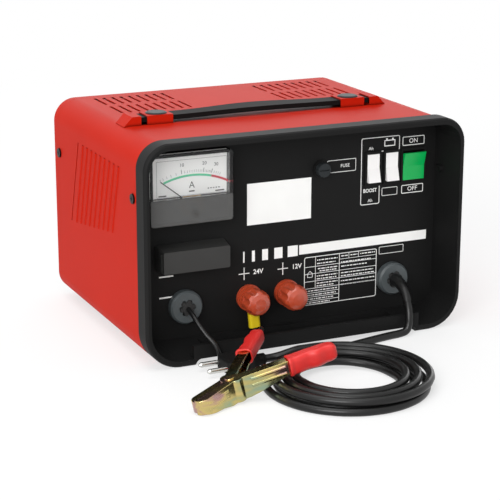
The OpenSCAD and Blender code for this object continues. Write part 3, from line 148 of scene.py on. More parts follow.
# The red colour multiplied by the painted shade.
deep = add(tree, "ShaderNodeMixRGB", {
    "Fac": 1.0, "Color1": shade.outputs["Color"], "Color2": painted_slot_shade.outputs["Result"],
}, blend_type="MULTIPLY")
tree.links.new(deep.outputs["Color"], shader.inputs["Base Color"])
peel = add(tree, "ShaderNodeTexNoise", {"Vector": place, "Scale": per_metre(3.5), "Detail": 2.0})
skin = add(tree, "ShaderNodeBump", {
    "Height": peel.outputs["Fac"], "Strength": 0.06, "Distance": PEEL_DEEP,
})
tree.links.new(skin.outputs["Normal"], shader.inputs["Normal"])
print(red_coat.name)

# %% [markdown]
# ## Moulded plastics
# Front, meter case, fuse cover and switch frames are black ABS from a spark-eroded tool. Its grain is
# about 0.3 mm, too fine to show here, so it is drawn at 1.1 mm and very shallow. What the eye gets is a
# soft grey sheen on the edges and a deep black on the faces. The same recipe, with other colours, gloss
# and grain, serves the rockers, the green lens, the glands, the strap and the phenolic terminal nuts.

# %% Recipe of a moulded plastic
GRAIN_DEEP = 0.0002


def moulded(name, dark, light, roughness, grain_mm=1.1, depth=0.12, **values):
    material, tree, shader, place = recipe(name, Roughness=roughness, **values)
    grain = add(tree, "ShaderNodeTexNoise", {
        "Vector": place, "Scale": per_metre(grain_mm), "Detail": 4.0,
    })
    cloud = add(tree, "ShaderNodeTexNoise", {"Vector": place, "Scale": per_metre(35), "Detail": 2.0})
    shade = add(tree, "ShaderNodeValToRGB", {"Fac": cloud.outputs["Fac"]})
    shade.color_ramp.elements[0].color = linear(dark)
    shade.color_ramp.elements[1].color = linear(light)
    tree.links.new(shade.outputs["Color"], shader.inputs["Base Color"])
    skin = add(tree, "ShaderNodeBump", {
        "Height": grain.outputs["Fac"], "Strength": depth, "Distance": GRAIN_DEEP,
    })
    tree.links.new(skin.outputs["Normal"], shader.inputs["Normal"])
    return material


print("noise scale of a 1.1 mm grain", round(per_metre(1.1)))

# %% Moulded plastics
black_abs = moulded("moulded_abs_black", "080808", "0D0D0D", 0.66, IOR=1.5, Specular_IOR_Level=0.2)
box_abs = moulded(
    "moulded_abs_box_black", "20201F", "282827", 0.6, grain_mm=1.6, depth=0.3, IOR=1.53
)
black_nylon = moulded("gloss_nylon_black", "0F0F10", "151516", 0.28, IOR=1.53)
grey_nylon = moulded(
    "nylon_gland_grey", "3C4244", "484E50", 0.5, grain_mm=1.4, depth=0.5, IOR=1.53
)
strap_plastic = moulded(
    "soft_pvc_strap_black", "070707", "0C0C0C", 0.72, grain_mm=2.2, depth=0.15, IOR=1.5,
    Specular_IOR_Level=0.12,
)
cap_plastic = moulded(
    "cap_plastic_black", "222527", "2A2E30", 0.55, IOR=1.5, Specular_IOR_Level=0.2
)
foot_rubber = moulded("foot_rubber", "141414", "1C1C1C", 0.7, grain_mm=1.4, depth=0.4, IOR=1.52)
white_gloss = moulded("rocker_abs_white", "ECEAE9", "F5F3F2", 0.25, depth=0.03, IOR=1.53)
red_phenolic = moulded(
    "phenolic_nut_red", "A63A20", "C04C2C", 0.3, grain_mm=2.5, depth=0.1, IOR=1.6, Coat_Weight=0.5
)
dark_phenolic = moulded("phenolic_board_dark", "2A211B", "3A2E25", 0.6, IOR=1.6)
green_lens = moulded(
    "lens_polycarbonate_green", "00A04A", "00AE54", 0.2, depth=0.02, IOR=1.58,
    Specular_IOR_Level=0.3,
)
dial_card = moulded("printed_dial_card", "F1F1EF", "F6F6F4", 0.55, depth=0.05, IOR=1.5)
fuse_glass = moulded(
    "fuse_tube_glass", "D8E0DE", "E6ECEA", 0.08, depth=0.01, IOR=1.52, Alpha=0.45
)
print("materials", len(bpy.data.materials))

# %% [markdown]
# ## Soft plastics
# The clamp grips are dipped soft PVC, the terminal sleeve is yellow vinyl and the cords have a rubber
# skin. Soft vinyl has a broad sheen and hardly any grain, so each gets a rougher highlight and a slight
# unevenness of 4 to 6 mm, which a dipped or extruded skin has.

# %% Soft plastics
grip_red = moulded("dipped_pvc_red", "C42220", "D62C28", 0.4, grain_mm=6, depth=0.15, IOR=1.53)
grip_black = moulded("dipped_pvc_black", "141414", "1B1B1B", 0.45, grain_mm=6, depth=0.15, IOR=1.53)
yellow_vinyl = moulded(
    "vinyl_sleeve_yellow", "D9BC12", "EBCF22", 0.42, grain_mm=4, depth=0.2, IOR=1.53
)
cord_rubber = moulded(
    "cord_rubber_black", "0A0A0A", "101010", 0.36, grain_mm=5, depth=0.12, IOR=1.5,
    Specular_IOR_Level=0.35,
)
print(grip_red.name, grip_black.name, yellow_vinyl.name, cord_rubber.name)

# %% [markdown]
# ## Clear and smoked window
# The meter front is clear polystyrene above and smoked below. Clear plastic is a transmissive shader with
# a little roughness. The smoked part lets only some light through, so that the movement behind it is no
# more than a shade. A moulding has no sharp edges, and the Bevel node rounds them in the shading alone.

# %% Clear and smoked polystyrene
WINDOW_EDGE, EDGE_SAMPLES = 0.0014, 6


def window(name, tint, roughness, clear):
    material, tree, shader, place = recipe(
        name, Roughness=roughness, IOR=1.45, Transmission_Weight=clear, Base_Color=linear(tint)
    )
    flow = add(tree, "ShaderNodeTexNoise", {"Vector": place, "Scale": per_metre(40), "Detail": 1.0})
    edge = add(tree, "ShaderNodeBevel", {"Radius": WINDOW_EDGE}, samples=EDGE_SAMPLES)
    skin = add(tree, "ShaderNodeBump", {
        "Height": flow.outputs["Fac"], "Strength": 0.02, "Distance": PEEL_DEEP,
        "Normal": edge.outputs["Normal"],
    })
    tree.links.new(skin.outputs["Normal"], shader.inputs["Normal"])
    return material


clear_window = window("clear_polystyrene", "FFFFFF", 0.02, 1.0)
smoked_window = window("smoked_polystyrene", "6E6E6D", 0.1, 0.6)
print(clear_window.name, smoked_window.name)

# %% [markdown]
# ## Bare and plated metals
# Brass, copper, tinned strip, nickel and zinc-plated steel differ in tint and gloss. On a metal the base
# colour carries the tint itself. Rolling and plating leave fine streaks, so one stretched noise varies
# both the colour and the gloss a little.

# %% Metals
def metal(name, dark, light, roughness, grain_mm=4.0):
    material, tree, shader, place = recipe(name, Metallic=1.0)
    stretch = add(tree, "ShaderNodeMapping", {"Vector": place, "Scale": (0.25, 0.25, 1.0)})
    streak = add(tree, "ShaderNodeTexNoise", {
        "Vector": stretch.outputs["Vector"], "Scale": per_metre(grain_mm), "Detail": 5.0,
    })
    shade = add(tree, "ShaderNodeValToRGB", {"Fac": streak.outputs["Fac"]})
    shade.color_ramp.elements[0].color = linear(dark)
    shade.color_ramp.elements[1].color = linear(light)
    gloss = add(tree, "ShaderNodeMapRange", {
        "Value": streak.outputs["Fac"], "To Min": roughness * 0.8, "To Max": roughness * 1.25,
    })
    tree.links.new(shade.outputs["Color"], shader.inputs["Base Color"])
    tree.links.new(gloss.outputs["Result"], shader.inputs["Roughness"])
    return material


zinc_sheet = metal("zinc_plated_sheet", "989C9A", "B4B8B6", 0.38)
core_steel = metal("lamination_steel", "5A5C5E", "74767A", 0.5, grain_mm=1.5)
frame_steel = metal("plated_frame_steel", "8E9290", "A6AAA8", 0.4)
copper = metal("enamelled_copper", "9C4E28", "B8683A", 0.35, grain_mm=1.2)
brass = metal("brass", "A8823E", "CBA65C", 0.3)
tinned = metal("tinned_copper", "B9B6AE", "D2CFC8", 0.3)
plate_alloy = metal("aluminium_plate", "AEB2B4", "C6CACC", 0.36)
diode_metal = metal("nickelled_diode", "A8A8A4", "C4C4C0", 0.3)
spring_steel = metal("spring_steel", "6E6E6C", "98988F", 0.28)
bright_pins = metal("nickel_plated_pins", "BDBDBA", "D6D6D2", 0.22)
black_screw = metal("blackened_screw", "1C1C1D", "2C2C2E", 0.42)
print("materials", len(bpy.data.materials))

# %% [markdown]
# ## Yellow zinc
# The clamps are stamped steel with a yellow zinc finish: a thin film whose colour drifts between brass,
# olive, steel blue and rose in streaks about a centimetre wide. A stretched noise picks those colours and
# a finer one varies the gloss. The Bevel node rounds the folds in the shading, which gives them the
# bright lines that pressed steel has.

# %% Yellow zinc on steel
FOLD_ROUND = 0.0011
FILM_STOPS = ((0.36, "96A68A"), (0.46, "B8AE74"), (0.54, "CEB878"), (0.63, "B48E88"))
zinc_yellow, tree, shader, place = recipe("yellow_zinc_steel", Metallic=1.0)
drawn = add(tree, "ShaderNodeMapping", {"Vector": place, "Scale": (0.22, 1.0, 1.0)})
drift = add(tree, "ShaderNodeTexNoise", {
    "Vector": drawn.outputs["Vector"], "Scale": per_metre(14), "Detail": 3.0,
})
film = add(tree, "ShaderNodeValToRGB", {"Fac": drift.outputs["Fac"]})
film.color_ramp.elements[0].color = linear("7EA29C")
film.color_ramp.elements[-1].color = linear("9EAAA2")
for stop, tint in FILM_STOPS:
    film.color_ramp.elements.new(stop).color = linear(tint)
wear = add(tree, "ShaderNodeTexNoise", {"Vector": place, "Scale": per_metre(5), "Detail": 4.0})
gloss = add(tree, "ShaderNodeMapRange", {"Value": wear.outputs["Fac"], "To Min": 0.1, "To Max": 0.24})
tree.links.new(film.outputs["Color"], shader.inputs["Base Color"])
tree.links.new(gloss.outputs["Result"], shader.inputs["Roughness"])
fold = add(tree, "ShaderNodeBevel", {"Radius": FOLD_ROUND}, samples=EDGE_SAMPLES)
dent = add(tree, "ShaderNodeBump", {
    "Height": wear.outputs["Fac"], "Strength": 0.05, "Distance": PEEL_DEEP,
    "Normal": fold.outputs["Normal"],
})
tree.links.new(dent.outputs["Normal"], shader.inputs["Normal"])
print(zinc_yellow.name, "colours", len(film.color_ramp.elements))

# %% [markdown]
# ## Inks
# Front and dial are screen printed. The ink film lies on the plastic, so each mark is a thin piece of its
# own, about a twentieth of a millimetre in front of the surface, with a slightly uneven cover.

# %% Inks
INK = {"roughness": 0.5, "grain_mm": 0.8, "depth": 0.1, "IOR": 1.5}
white_ink = moulded("screen_ink_white", "ECECEA", "F6F6F4", **INK)
black_ink = moulded("screen_ink_black", "1A1A1A", "262626", **INK)
green_ink = moulded("screen_ink_green", "48C492", "56D0A0", **INK)
red_ink = moulded("screen_ink_red", "C41F38", "D02C44", **INK)
print(white_ink.name, black_ink.name, green_ink.name, red_ink.name)

# %% [markdown]
# ## Give the CAD parts their finish
# Each CAD node has one material slot. A table from finish to node names is easier to read and to check
# than sixty separate lines, and the count at the end shows that no node is left out.

# %% Finish of every CAD node
finish_of = {
    black_abs: "front_panel meter_case fuse_holder mains_switch_body boost_switch_body "
               "start_switch_body plug_body",
    box_abs: "fuse_cover",
    red_coat: "cover",
    zinc_sheet: "rear_panel base_tray",
    foot_rubber: "rear_feet",
    black_screw: "cover_screws",
    strap_plastic: "handle_strap",
    cap_plastic: "handle_caps fuse_cap",
    clear_window: "meter_cover",
    smoked_window: "meter_apron",
    dial_card: "meter_dial",
    black_ink: "meter_needle",
    brass: "meter_movement terminal_studs positive_lug",
    tinned: "fuse_strip",
    dark_phenolic: "fuse_block",
    fuse_glass: "mains_fuse",
    green_lens: "mains_rocker",
    white_gloss: "boost_rocker start_rocker",
    red_phenolic: "knob_24v knob_12v terminal_collars",
    grey_nylon: "negative_gland mains_gland",
    core_steel: "transformer_core",
    copper: "primary_winding secondary_winding",
    frame_steel: "transformer_frame",
    plate_alloy: "rectifier_plate",
    diode_metal: "rectifier_diodes",
    black_nylon: "thermal_cutout",
    zinc_yellow: "red_front_arm red_back_arm red_pin black_front_arm black_back_arm black_pin",
    spring_steel: "red_spring black_spring",
    grip_red: "red_front_grip red_back_grip",
    grip_black: "black_front_grip black_back_grip",
    yellow_vinyl: "lug_sleeve",
    cord_rubber: "positive_lead negative_lead mains_lead mains_coil mains_tail",
    bright_pins: "plug_pins",
}
dressed = set()
for material, names in finish_of.items():
    for name in names.split():
        for slot in parts[name].material_slots:
            slot.material = material
        dressed.add(name)
print("dressed", len(dressed), "left", sorted(set(parts) - dressed))

# %% [markdown]
# ## Cords
# Each cord follows the route of its CAD solid, point by point. A Bezier curve with automatic handles runs
# smoothly through the points, and a round bevel gives the cord its thickness. Its length is measured on
# the finished curve, in short steps between the points.
# Points near the case are written with their depth behind its front edge, as the CAD routes are.

# %% Cord tool
MEASURE_STEPS = 8
FRONT_Y = -127


def cord_curve(name, points, diameter):
    data = bpy.data.curves.new(name, "CURVE")
    data.dimensions = "3D"
    data.resolution_u = data.render_resolution_u = 4
    data.bevel_depth = diameter / 2 * MM
    data.bevel_resolution = 4
    data.use_fill_caps = True
    spline = data.splines.new("BEZIER")
    spline.bezier_points.add(len(points) - 1)
    for knot, point in zip(spline.bezier_points, points):
        knot.co = Vector(point) * MM
        knot.handle_left_type = knot.handle_right_type = "AUTO"
    made = bpy.data.objects.new(name, data)
    bpy.context.collection.objects.link(made)
    data.materials.append(cord_rubber)
    length = 0.0
    bpy.context.view_layer.update()
    for a, b in zip(spline.bezier_points, spline.bezier_points[1:]):
        last = a.co.copy()
        for k in range(1, MEASURE_STEPS + 1):
            t = k / MEASURE_STEPS
            here = (a.co * (1 - t) ** 3 + a.handle_right * 3 * t * (1 - t) ** 2
                    + b.handle_left * 3 * t * t * (1 - t) + b.co * t ** 3)
            length += (here - last).length
            last = here
    print(name, "points", len(points), "length", round(length, 4))
    return made, length


def at(x, depth, z):
    return (x, depth + FRONT_Y, z)


print("a point on the front", at(0, 0, 0))

# %% [markdown]
# ## Mains cord
# The mains cord lies coiled in front of the charger. It leaves its gland, hangs over the lip, lies on the
# floor and makes six turns: three inwards on the floor, a small climb, and three outwards on top. A flat
# spiral whose radius follows the turn number gives both layers. It climbs in the half turn about its
# middle, where the radius stands still. Then it runs to the plug. All lengths are in millimetres.

# %% Mains cord
MAINS_DIA = 7.5
MAINS_X, GLAND_Y, GLAND_Z = 106.6, -92, 45.5
FLOOR_Z, FLOOR_END_X = 3.75, -9
COIL_X, COIL_Y, COIL_START = -14, -230, 96
COIL_HALF, COIL_STEPS, QUARTER = 3, 144, 0.25
COIL_INNER, COIL_PITCH, COIL_CLIMB = 46, 10.6, 8.1
LEAD_IN = 3


def floor_x(k):
    return MAINS_X + (FLOOR_END_X - MAINS_X) * k


def coil_point(t):
    reach = COIL_INNER + COIL_PITCH * max(0, abs(t - COIL_HALF) - QUARTER)
    lift = COIL_CLIMB * min(1, max(0, (t - COIL_HALF + QUARTER) / (2 * QUARTER)))
    angle = math.radians(COIL_START + 360 * t)
    return Vector((COIL_X + reach * math.cos(angle), COIL_Y + reach * math.sin(angle), FLOOR_Z + lift))


coil = [coil_point(2 * COIL_HALF * i / COIL_STEPS) for i in range(COIL_STEPS + 1)]
into = (coil[1] - coil[0]).normalized()
out_of = (coil[-1] - coil[-2]).normalized()
mains_drop = (
    (0.1, 19.6, 44.4), (0.4, 12.2, 41.2), (0.9, 6, 36.4), (1.6, 1.2, 30.6), (2.4, -2.8, 24.4),
    (3.2, -5.4, 17.6), (4.4, -6.6, 10.8), (7.2, -7.2, 5.6),
)
mains_floor = (
    (0.118, -7.6, 3.9), (0.213, -9, FLOOR_Z), (0.351, -11.9, FLOOR_Z), (0.49, -15.3, FLOOR_Z),
    (0.628, -18.8, FLOOR_Z), (0.766, -22.2, FLOOR_Z), (0.888, -24.8, FLOOR_Z), (1, -26.6, FLOOR_Z),
)
mains_route = (
    [(MAINS_X, GLAND_Y, GLAND_Z), (MAINS_X, GLAND_Y - MAINS_DIA, GLAND_Z)]
    + [at(MAINS_X - x, depth, z) for x, depth, z in mains_drop]
    + [at(floor_x(k), depth, z) for k, depth, z in mains_floor]
    + [coil[0] - LEAD_IN * into] + coil + [coil[-1] + LEAD_IN * out_of]
    + [at(-31, -28.9, 11.4), at(-37, -28.2, 10), at(-43, -26.8, 8.2)]
    + [(-50.51, -151.64, 6.5), (-58.01, -151.77, 6.5)]
)
mains_cord, mains_length = cord_curve("mains_cord", mains_route, MAINS_DIA)
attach(mains_cord, "case")
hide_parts("mains_lead", "mains_coil", "mains_tail")

# %% [markdown]
# ## Battery leads
# The positive lead runs from the yellow sleeve at the 24 V nut to the rear handle of the red clamp. The
# negative lead leaves the left gland, goes round the foot and under the case to the black clamp behind.

# %% Battery leads
LEAD_DIA, NEGATIVE_X = 4.4, -110.5
positive_route = [
    (-42.912, -97.25, 18.324), (-42.682, -97.25, 15.935), at(-42.7, 27.9, 13.8), at(-42.9, 25.8, 12),
    at(-43.2, 23.1, 11.1), at(-43.6, 20.3, 11.1), at(-44.2, 17.7, 12), at(-45, 15.4, 13.8),
    at(-46.2, 12.2, 16.8), at(-47.6, 8.6, 19.9), at(-49.2, 4.4, 22.8), at(-50.9, 0, 25.2),
    at(-52.3, -4, 26.9), at(-53.4, -8, 28.3), (-56.259, -140.109, 31.249), (-59.634, -144.094, 30.469),
    (-62.383, -147.34, 29.835),
]
positive_cord, positive_length = cord_curve("positive_cord", positive_route, LEAD_DIA)
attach(positive_cord, "case")
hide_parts("positive_lead")

negative_offsets = (
    (0.1, 25.6, 44.4), (0.6, 20.6, 42.2), (1.7, 15.6, 38.6), (3.3, 11, 34.2), (5.5, 6.8, 29.8),
    (7.9, 3, 25.6), (10.5, -0.6, 22.2), (12.9, -3.4, 18.4), (14.7, -5.2, 13.8), (16.1, -6.1, 9.2),
    (17.7, -6.2, 5.4), (20.9, -5, 2.8), (25.9, -2, 2.4), (30.5, 2.4, 2.4), (33.5, 8, 2.4),
    (34.5, 16, 2.4), (33.5, 28, 2.4), (30.5, 50, 2.4), (25.5, 90, 2.4), (20.5, 130, 2.4),
    (15.5, 170, 2.4), (10.5, 205, 2.4), (5.5, 235, 2.4), (1.9, 250, 2.6), (1.9, 258, 3.2),
    (5.1, 264, 4.2), (10.1, 267.6, 5.4),
)
negative_route = (
    [(NEGATIVE_X, GLAND_Y, GLAND_Z), (NEGATIVE_X, GLAND_Y - LEAD_DIA, GLAND_Z)]
    + [at(NEGATIVE_X + x, depth, z) for x, depth, z in negative_offsets]
    + [(-88.946, 132.448, 7.197), (-84.253, 134.845, 8.225)]
    + [(-80.342, 136.843, 8.799), (-76.52, 138.795, 9.066)]
)
negative_cord, negative_length = cord_curve("negative_cord", negative_route, LEAD_DIA)
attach(negative_cord, "case")
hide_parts("negative_lead")

# %% [markdown]
# ## Length of the cords
# A real cord bends. The lengths of the three cords, measured above, are added up here.

print("metres of cord", round(mains_length + positive_length + negative_length, 3))

# %% [markdown]
# ## Floor
# The object stands on a plain white sheet. The sheet keeps the soft shadow near the object and turns to
# an even white further off, so that paper and air meet without an edge. The glow is shown to the camera,
# and to what metal, gloss and glass mirror or let through. It doesn't light the object.

# %% Floor
SHEET_REACH = 6.0
GLOW_NEAR, GLOW_STARTS, GLOW_FULL = 0.62, 0.35, 1.3


def white_for(tree):
    ray = add(tree, "ShaderNodeLightPath")
    seen = ray.outputs["Is Camera Ray"]
    for kind in ("Is Glossy Ray", "Is Transmission Ray"):
        either = add(tree, "ShaderNodeMath", {0: seen, 1: ray.outputs[kind]}, operation="MAXIMUM")
        seen = either.outputs[0]
    return seen


sheet_mesh = bpy.data.meshes.new("floor")
shape = bmesh.new()
bmesh.ops.create_grid(shape, x_segments=1, y_segments=1, size=SHEET_REACH)
shape.to_mesh(sheet_mesh)
shape.free()
floor = bpy.data.objects.new("floor", sheet_mesh)
bpy.context.collection.objects.link(floor)
paper, tree, shader, place = recipe(
    "studio_paper_white", Roughness=0.9, Base_Color=linear("F4F4F4")
)
seen = white_for(tree)
glow = add(tree, "ShaderNodeEmission", {"Color": (1, 1, 1, 1), "Strength": 1.0})
away = add(tree, "ShaderNodeVectorMath", {0: place}, operation="LENGTH")
share = add(tree, "ShaderNodeMapRange", {
    "Value": away.outputs["Value"], "From Min": GLOW_STARTS, "From Max": GLOW_FULL,
    "To Min": GLOW_NEAR, "To Max": 1.0,
})
blend = add(tree, "ShaderNodeMath", {0: seen, 1: share.outputs["Result"]}, operation="MULTIPLY")
mixed = add(tree, "ShaderNodeMixShader", {0: blend.outputs[0]})
tree.links.new(shader.outputs["BSDF"], mixed.inputs[1])
tree.links.new(glow.outputs["Emission"], mixed.inputs[2])
tree.links.new(mixed.outputs["Shader"], tree.nodes["Material Output"].inputs["Surface"])
sheet_mesh.materials.append(paper)
print("floor", 2 * SHEET_REACH, "metres square")

# %% [markdown]
# ## Air
# An even sky stands for the white walls of a studio. It is plain white where it is seen or mirrored. As a
# light it is weaker, because the lamps do most of the work.

# %% Air
AIR_LIGHT = 0.42
air = bpy.data.worlds.new("air")
bpy.context.scene.world = air
air.use_nodes = True
tree = air.node_tree
level = add(tree, "ShaderNodeMapRange", {
    "Value": white_for(tree), "To Min": AIR_LIGHT, "To Max": 1.0,
})
tree.nodes["Background"].inputs["Color"].default_value = (1, 1, 1, 1)
tree.links.new(level.outputs["Result"], tree.nodes["Background"].inputs["Strength"])
print("light from the air", AIR_LIGHT)

# %% [markdown]
# ## Lamps
# Three large soft lamps: one above, one in front on the left that does most of the work, and a long low
# one behind, whose mirror image on the roof gives the pale sheen. Large lamps give soft shadows.

# %% Lamps
def lamp(name, place, aim, size, watts):
    data = bpy.data.lights.new(name, "AREA")
    data.shape = "RECTANGLE"
    data.size, data.size_y = size
    data.energy = watts
    made = bpy.data.objects.new(name, data)
    made.location = place
    made.rotation_euler = (Vector(aim) - Vector(place)).to_track_quat("-Z", "Y").to_euler()
    bpy.context.collection.objects.link(made)
    return made


lamp("top_lamp", (-0.4, -0.3, 1.8), (0, -0.1, 0.1), (1.6, 1.2), 16)
lamp("front_lamp", (-1.8, -2.0, 1.15), (0, -0.1, 0.1), (1.5, 1.2), 62)
back_lamp = lamp("back_lamp", (0.75, 1.75, 0.7), (0, 0, 0.2), (2.8, 1.0), 17)
back_lamp.visible_camera = False
print("lamps", len(bpy.data.lights))

# %% [markdown]
# ## From a bmesh to a piece
# Every new piece goes the same way: its bmesh becomes a mesh with one material, the mesh gets an object
# that stays at the origin, and the object rides on a body of the charger. One function does this for
# prints, grips and clovers. A square face and rounded corners are shared by several shapes too.

# %% Piece tools
def piece(shape, name, material, body):
    mesh = bpy.data.meshes.new(name)
    shape.to_mesh(mesh)
    shape.free()
    mesh.materials.append(material)
    made = bpy.data.objects.new(name, mesh)
    bpy.context.collection.objects.link(made)
    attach(made, body)
    print(name, "faces", len(mesh.polygons))
    return made


def unit_face(shape, matrix):
    bmesh.ops.create_grid(shape, x_segments=1, y_segments=1, size=0.5, matrix=matrix)


def round_corners(shape, radius):
    bmesh.ops.bevel(
        shape, geom=shape.verts[:], affect="VERTICES", offset=radius, segments=4, profile=0.5,
        material=-1,
    )


print("piece tools ready")

# %% [markdown]
# ## Printing on the front
# The white print is drawn flat, as on a sheet of paper, in millimetres: right is the front's right, up is
# its height. Bars are single faces, frames are a face with rounded corners whose middle is cut out after
# an inset, and the short words are font outlines made into mesh. One matrix then stands the sheet up
# against the panel, so that all of it is one thin piece.

# %% Printing tools
def bar(page, left, right_edge, low, high):
    centre = Vector(((left + right_edge) / 2, (low + high) / 2, 0))
    unit_face(page, Matrix.Translation(centre) @ Matrix.Diagonal((right_edge - left, high - low, 1, 1)))


def outline(page, corners, line, radius):
    other = bmesh.new()
    other.faces.new([other.verts.new((x, z, 0)) for x, z in corners])
    if radius > 0:
        round_corners(other, radius)
    other.normal_update()
    bmesh.ops.inset_individual(other, faces=other.faces[:], thickness=line, use_even_offset=True)
    middle = max(other.faces, key=lambda face: face.calc_area())
    bmesh.ops.delete(other, geom=[middle], context="FACES_ONLY")
    carrier = bpy.data.meshes.new("carrier")
    other.to_mesh(carrier)
    other.free()
    page.from_mesh(carrier)
    bpy.data.meshes.remove(carrier)


def box_corners(left, right_edge, low, high):
    return [(left, low), (right_edge, low), (right_edge, high), (left, high)]


def words(page, text, x, z, size, stretch, bold=0.0):
    data = bpy.data.curves.new("words", "FONT")
    data.body, data.size, data.offset = text, size, bold
    data.align_x, data.align_y = "CENTER", "CENTER"
    data.resolution_u = 3
    holder = bpy.data.objects.new("words", data)
    bpy.context.collection.objects.link(holder)
    settled = holder.evaluated_get(bpy.context.evaluated_depsgraph_get())
    flat = bpy.data.meshes.new_from_object(settled)
    flat.transform(Matrix.Translation((x, z, 0)) @ Matrix.Diagonal((stretch, 1, 1, 1)))
    page.from_mesh(flat)
    bpy.data.objects.remove(holder)
    bpy.data.curves.remove(data)
    bpy.data.meshes.remove(flat)


def stand_up(page, name, plane_y, ink):
    upright = Matrix(((1, 0, 0, 0), (0, 0, -1, plane_y), (0, 1, 0, 0), (0, 0, 0, 1)))
    bmesh.ops.transform(page, matrix=Matrix.Scale(MM, 4) @ upright, verts=page.verts[:])
    piece(page, name, ink, "case")


print("printing tools ready")

# %% [markdown]
# ## Front print
# The label plate, the bar with its five steps, the marks of both nuts, the frames about fuse and switches
# and the short words by them. Each line is a bar or a frame in millimetres from the middle of the front.

# %% Front print
PANEL_Y, PANEL_INK = -89.0, 0.06
THIN, FINE = 0.5, 0.7
page = bmesh.new()
bar(page, -47, 19, 114.5, 154)
bar(page, 7, 145, 80, 89.3)
for left, width in ((-51, 1.5), (-42, 3), (-31.5, 6), (-19, 8.6), (-5, 10.5)):
    bar(page, left, left + width, 79.2, 89.8)
for centre in (-50, -10):
    bar(page, centre - 5.5, centre + 5.5, 68.1, 68.9)
    bar(page, centre - 0.4, centre + 0.4, 62.5, 74.5)
for height in (75.5, 55.5):
    bar(page, -135, -121, height - 0.7, height + 0.7)
for left in (98, 104.4):
    bar(page, left, left + 1.8, 182.4, 184)
for edges, line, radius in (
    ((35.5, 66, 156, 168), THIN, 1), ((94.5, 111.5, 128, 136), THIN, 1),
    ((96.2, 108, 176.2, 182.4), 0.9, 0.3),
    ((116, 140, 175, 183.8), FINE, 1.2), ((116, 140, 128, 136.4), FINE, 1.2),
):
    outline(page, box_corners(*edges), line, radius)
switch_frame = [(71.5, 121), (92, 121), (92, 171.6), (113, 171.6), (113, 186), (71.5, 186)]
outline(page, switch_frame, FINE, 1.8)
for text, x, z, size, stretch, bold in (
    ("24V", -35.5, 68.9, 6.4, 1.0, 0.1), ("12V", 4.6, 68.9, 6.4, 1.0, 0.1),
    ("FUSE", 54.5, 161.8, 4.6, 1.0, 0.0), ("Ah", 82, 175.4, 4.4, 1.0, 0.0),
    ("Ah", 82, 124.8, 4.4, 1.0, 0.0), ("BOOST", 81.7, 134.6, 5.0, 0.9, 0.1),
    ("ON", 128, 179.2, 6.2, 1.0, 0.0), ("OFF", 128, 132.2, 6.2, 1.0, 0.0),
):
    words(page, text, x, z, size, stretch, bold)
stand_up(page, "front_print", PANEL_Y - PANEL_INK, white_ink)

# %% [markdown]
# ## Printed table
# The lower right of the front carries a ruled table. Its lines are drawn and its rows are filled with
# short plain dashes of uneven length, as small print looks from a step away, so that nothing is named.

# %% Table print
DASH_MIN, DASH_STEP, DASH_GAP, DASH_HALF = 1.1, 0.9, 0.8, 0.5
page = bmesh.new()
outline(page, box_corners(12.5, 90.5, 28.5, 76.5), FINE, 2)
outline(page, [(16, 56), (21.5, 56), (21.5, 60), (18.75, 62.6), (16, 60)], THIN, 0)
outline(page, box_corners(93, 120, 70, 77.5), THIN, 1)
for height in (66.5, 59.5, 52, 45, 40.5, 36.5, 32.5):
    bar(page, 13, 50 if height < 45 else 90, height - 0.25, height + 0.25)
for edges in (
    (49.7, 50.3, 28.8, 76.2), (24.2, 24.7, 45, 76.2), (60, 60.5, 70.5, 76.2),
    (70.5, 71, 70.5, 76.2), (50, 90, 70.3, 70.7),
):
    bar(page, *edges)
rows = (
    (26, 48, 72.4), (26, 46, 69), (27, 48.5, 63.8), (29, 47, 61.4), (26, 48, 56.6), (26, 47, 53.8),
    (26, 48.5, 49.4), (26, 44, 46.8), (15, 48, 42.6), (15, 47, 38.4), (15, 44, 34.4), (15, 41, 30.6),
    (52, 84, 67.4), (52, 80, 63.2), (52, 87, 56.6), (52, 88, 53.6), (52, 88.5, 48.6), (52, 88, 45),
    (52, 59, 73.4), (62, 69.5, 73.4), (72.5, 88.5, 73.4),
)
for number, (start, stop, height) in enumerate(rows):
    step = 0
    while start < stop:
        width = DASH_MIN + DASH_STEP * ((number * 7 + step * 5) % 4)
        bar(page, start, min(start + width, stop), height - DASH_HALF, height + DASH_HALF)
        start += width + DASH_GAP
        step += 1
stand_up(page, "table_print", PANEL_Y - PANEL_INK, white_ink)

# %% [markdown]
# ## Dial print
# An ammeter scale is crowded at its upper end. The arc is spun from one short edge about the needle's
# axis, so its band is even: green first, then red. Ticks are bars turned about the same centre, each set
# by its angle, and the three longer ones stand under the numbers.

# %% Dial arcs
DIAL_Y, DIAL_INK = -101.5, 0.05
ARC_X, ARC_Z, ARC_R, ARC_HALF, ARC_STEPS = -106.9, 94.94, 76.45, 1.0, 24


def arc_band(name, start, stop, ink):
    page = bmesh.new()
    aim = Vector((math.cos(math.radians(start)), math.sin(math.radians(start)), 0))
    page.edges.new([page.verts.new(aim * reach) for reach in (ARC_R - ARC_HALF, ARC_R + ARC_HALF)])
    bmesh.ops.spin(
        page, geom=page.verts[:] + page.edges[:], cent=(0, 0, 0), axis=(0, 0, 1),
        angle=math.radians(stop - start), steps=ARC_STEPS, use_merge=False,
    )
    bmesh.ops.translate(page, verts=page.verts[:], vec=(ARC_X, ARC_Z, 0))
    bmesh.ops.recalc_face_normals(page, faces=page.faces[:])
    if page.faces[:][0].normal.z < 0:
        bmesh.ops.reverse_faces(page, faces=page.faces[:])
    stand_up(page, name, DIAL_Y - DIAL_INK, ink)


arc_band("dial_arc_green", 111.2, 76.05, green_ink)
arc_band("dial_arc_red", 76.05, 61.6, red_ink)

